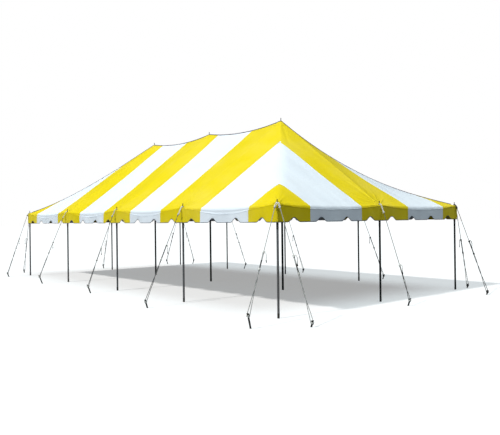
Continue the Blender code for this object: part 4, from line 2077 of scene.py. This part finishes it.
    def build(self) -> None:
        """Lay out the guy from its pin to its stake, and dress it."""
        low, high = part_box("guy_" + self.name)
        foot, lean, _ = Stake("stake_" + self.name).axis()
        pin = middle_of(self.pole)
        away = unit(foot - pin)
        outward, sideways = np.array([*away, 0.0]), np.array([-away[1], away[0], 0.0])
        tie_height = low.z + self.radius
        tie = np.array([*(foot + lean * tie_height), tie_height])
        edge = np.array([*(pin + away * self.reach(pin, away)), self.plan.pin_height])
        pull = unit(tie - edge)
        off = unit(np.cross(pull, sideways))
        off = off if off[2] > 0 else -off
        from_cloth = off * (self.radius + 0.005)
        knot = edge + from_cloth + pull * (self.corner_eye_drop if self.at_corner
                                           else self.eye_drop)
        begin, finish = (edge + share * (tie - edge) + from_cloth
                         for share in self.tightener(edge, tie))
        upper, tuck = begin - pull * self.loop_length, pull * 0.01

        parts = [self.eye(np.array([*pin, high.z - self.radius]), edge, knot, outward, sideways),
                 self.knot(knot, pull, sideways),
                 self.rope([knot - tuck, (knot + upper) / 2, upper + tuck], [off] * 3, slot=2),
                 self.knot(upper, pull, sideways)]
        parts += self.tail(upper, pull, sideways, off)
        parts += self.pair(upper, begin + tuck, sideways, off, 0.0, self.radius * 1.1)

        bar = rounded_box(self.tightener_width, self.tightener_width * 0.6, 0.005)
        share = np.linspace(0, 1, 13)
        waist = 1 - 0.12 * np.sin(math.pi * share) ** 2 - 0.2 * (2 * share - 1) ** 6
        parts.append(swept(begin + share[:, None] * (finish - begin), off, bar, slot=1,
                           scale=waist))
        parts.append(self.knot(finish + pull * 0.03, pull, sideways))
        turns = round(2 * self.twist * np.linalg.norm(tie - finish)) / 2
        round_stake = self.stake_radius + self.radius
        parts += self.pair(finish, tie, sideways, off, turns, round_stake + 0.004)
        parts.append(self.coil(tie, unit(np.array([*lean, 1.0])), round_stake + 0.001, 2.6,
                               outward))
        obj = Surface.joined(parts).piece("guy_rope_" + self.name, smooth=80)
        knots, runs = self.finishes
        dress(obj, "rope", knots, Finish.BLACK_STEEL, runs)
        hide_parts("guy_" + self.name)


# Studio


@dataclass(frozen=True)
class Light:
    """A distant light.

    Attributes:
        name: The light's name.
        direction: Where it comes from.
        strength: Its strength.
        angle: Its apparent width in degrees, which softens its shadows.
        colour: Its colour.
    """

    name: str
    direction: tuple
    strength: float
    angle: float
    colour: tuple

    def build(self) -> None:
        """Add the light to the scene, facing away from where it comes from."""
        data = bpy.data.lights.new(self.name, "SUN")
        data.energy, data.angle, data.color = self.strength, math.radians(self.angle), self.colour
        obj = bpy.data.objects.new(self.name, data)
        obj.matrix_world = Vector(self.direction).to_track_quat("Z", "Y").to_matrix().to_4x4()
        bpy.context.scene.collection.objects.link(obj)


@dataclass(frozen=True)
class Studio:
    """The floor, the light and the camera.

    Attributes:
        frame_width: Width of the photograph's frame in pixels.
        focal_pixels: Focal length in those pixels.
        sensor_width: Width of the camera's sensor in millimetres.
        position: Where the camera stands.
        yaw: Heading of the camera, turned from +Y towards -X, in degrees.
        pitch: How far it looks up, in degrees.
        roll: How far it is tilted about its line of sight, in degrees.
        lights: The lights.
        sky: Colour of the light from all round.
        sky_strength: Strength of the light from all round.
        backdrop: Colour of the backdrop as the camera sees it.
        floor: Colour of the floor as the camera sees it.
        floor_bounce: Colour of the floor for the light that it throws back.
        floor_glow: How much light the floor gives off to the camera, which pales its shadows.
        floor_size: Length of the floor's sides.
    """

    frame_width: float = 500.0
    focal_pixels: float = 593.3
    sensor_width: float = 36.0
    position: tuple = (14.003, -10.527, 1.832)
    yaw: float = 49.231
    pitch: float = 0.114
    roll: float = 0.680
    lights: tuple = (Light("key_light", (-0.05, -0.70, 0.71), 2.85, 4.0, (1.0, 0.98, 0.95)),
                     Light("side_fill", (0.38, 0.0, 0.925), 1.54, 50.0, (0.90, 1.03, 1.07)),
                     Light("front_fill", (-0.10, -0.97, 0.20), 0.46, 60.0, (0.66, 1.08, 1.36)))
    sky: tuple = (0.86, 0.96, 1.10)
    sky_strength: float = 0.105
    backdrop: tuple = (1.0, 1.0, 1.0)
    floor: tuple = (0.62, 0.62, 0.62)
    floor_bounce: tuple = (0.15, 0.15, 0.16)
    floor_glow: float = 0.36
    floor_size: float = 400.0

    def camera(self) -> None:
        """A level-headed camera at the photograph's place and angle."""
        data = bpy.data.cameras.new("photo_camera")
        data.sensor_fit = "HORIZONTAL"
        data.sensor_width = self.sensor_width
        data.lens = self.focal_pixels * self.sensor_width / self.frame_width
        data.clip_end = 1000.0
        obj = bpy.data.objects.new("photo_camera", data)
        turns = ((self.yaw, "Z"), (self.pitch, "X"), (self.roll, "Y"), (90.0, "X"))
        matrix = Matrix.Translation(self.position)
        for angle, axis in turns:
            matrix = matrix @ Matrix.Rotation(math.radians(angle), 4, axis)
        obj.matrix_world = matrix
        bpy.context.scene.collection.objects.link(obj)
        bpy.context.scene.camera = obj

    def light(self) -> None:
        """The lights, and a pale sky that shows white to the camera."""
        for light in self.lights:
            light.build()
        world = bpy.data.worlds.new("studio")
        world.use_nodes = True
        bpy.context.scene.world = world
        nodes = NodeTree(world.node_tree)
        seen = nodes.result("LightPath", output="Is Camera Ray")
        lit = tuple(self.sky_strength * part for part in self.sky)
        nodes.feed(world.node_tree.nodes["Background"].inputs["Color"],
                   nodes.mix(seen, lit, self.backdrop))
        bpy.context.scene.view_settings.view_transform = "Standard"

    def ground(self) -> None:
        """A plain pale floor."""
        half = self.floor_size / 2
        line = np.linspace(-half, half, 3)
        x, y = np.meshgrid(line, line, indexing="ij")
        points = np.stack([x, y, 0 * x - 0.0005], axis=-1)
        obj = Surface.grid(points, points[..., :2]).piece("studio_floor")
        paint = Paint("pale_floor")
        seen = paint.result("LightPath", output="Is Camera Ray")
        obj.data.materials.append(paint.coat(
            Base_Color=paint.mix(seen, self.floor_bounce, self.floor), Roughness=0.9,
            Specular_IOR_Level=0.0, Emission_Color=(1.0, 1.0, 1.0, 1.0),
            Emission_Strength=seen * self.floor_glow))

    def build(self) -> None:
        """Set the camera, the light and the floor."""
        self.camera()
        self.light()
        self.ground()


def main() -> None:
    """Build the studio and every part of the tent."""
    logging.basicConfig(level=logging.INFO, format="%(name)s: %(message)s")
    Studio().build()
    plan = Plan.from_frame()
    roof = RoofShape(plan)
    eave = EaveShape(roof)
    Canopy(roof, eave).build()
    Valance(eave).build()
    for node in sorted(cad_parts):
        if PoleKind.of(node):
            Pole(node, PoleKind.of(node)).build()
        elif node.startswith("stake_"):
            Stake(node).build()
        elif node.startswith("guy_"):
            Guy(node[len("guy_"):], plan).build()
    bpy.context.view_layer.update()


if __name__ == "__main__":
    main()
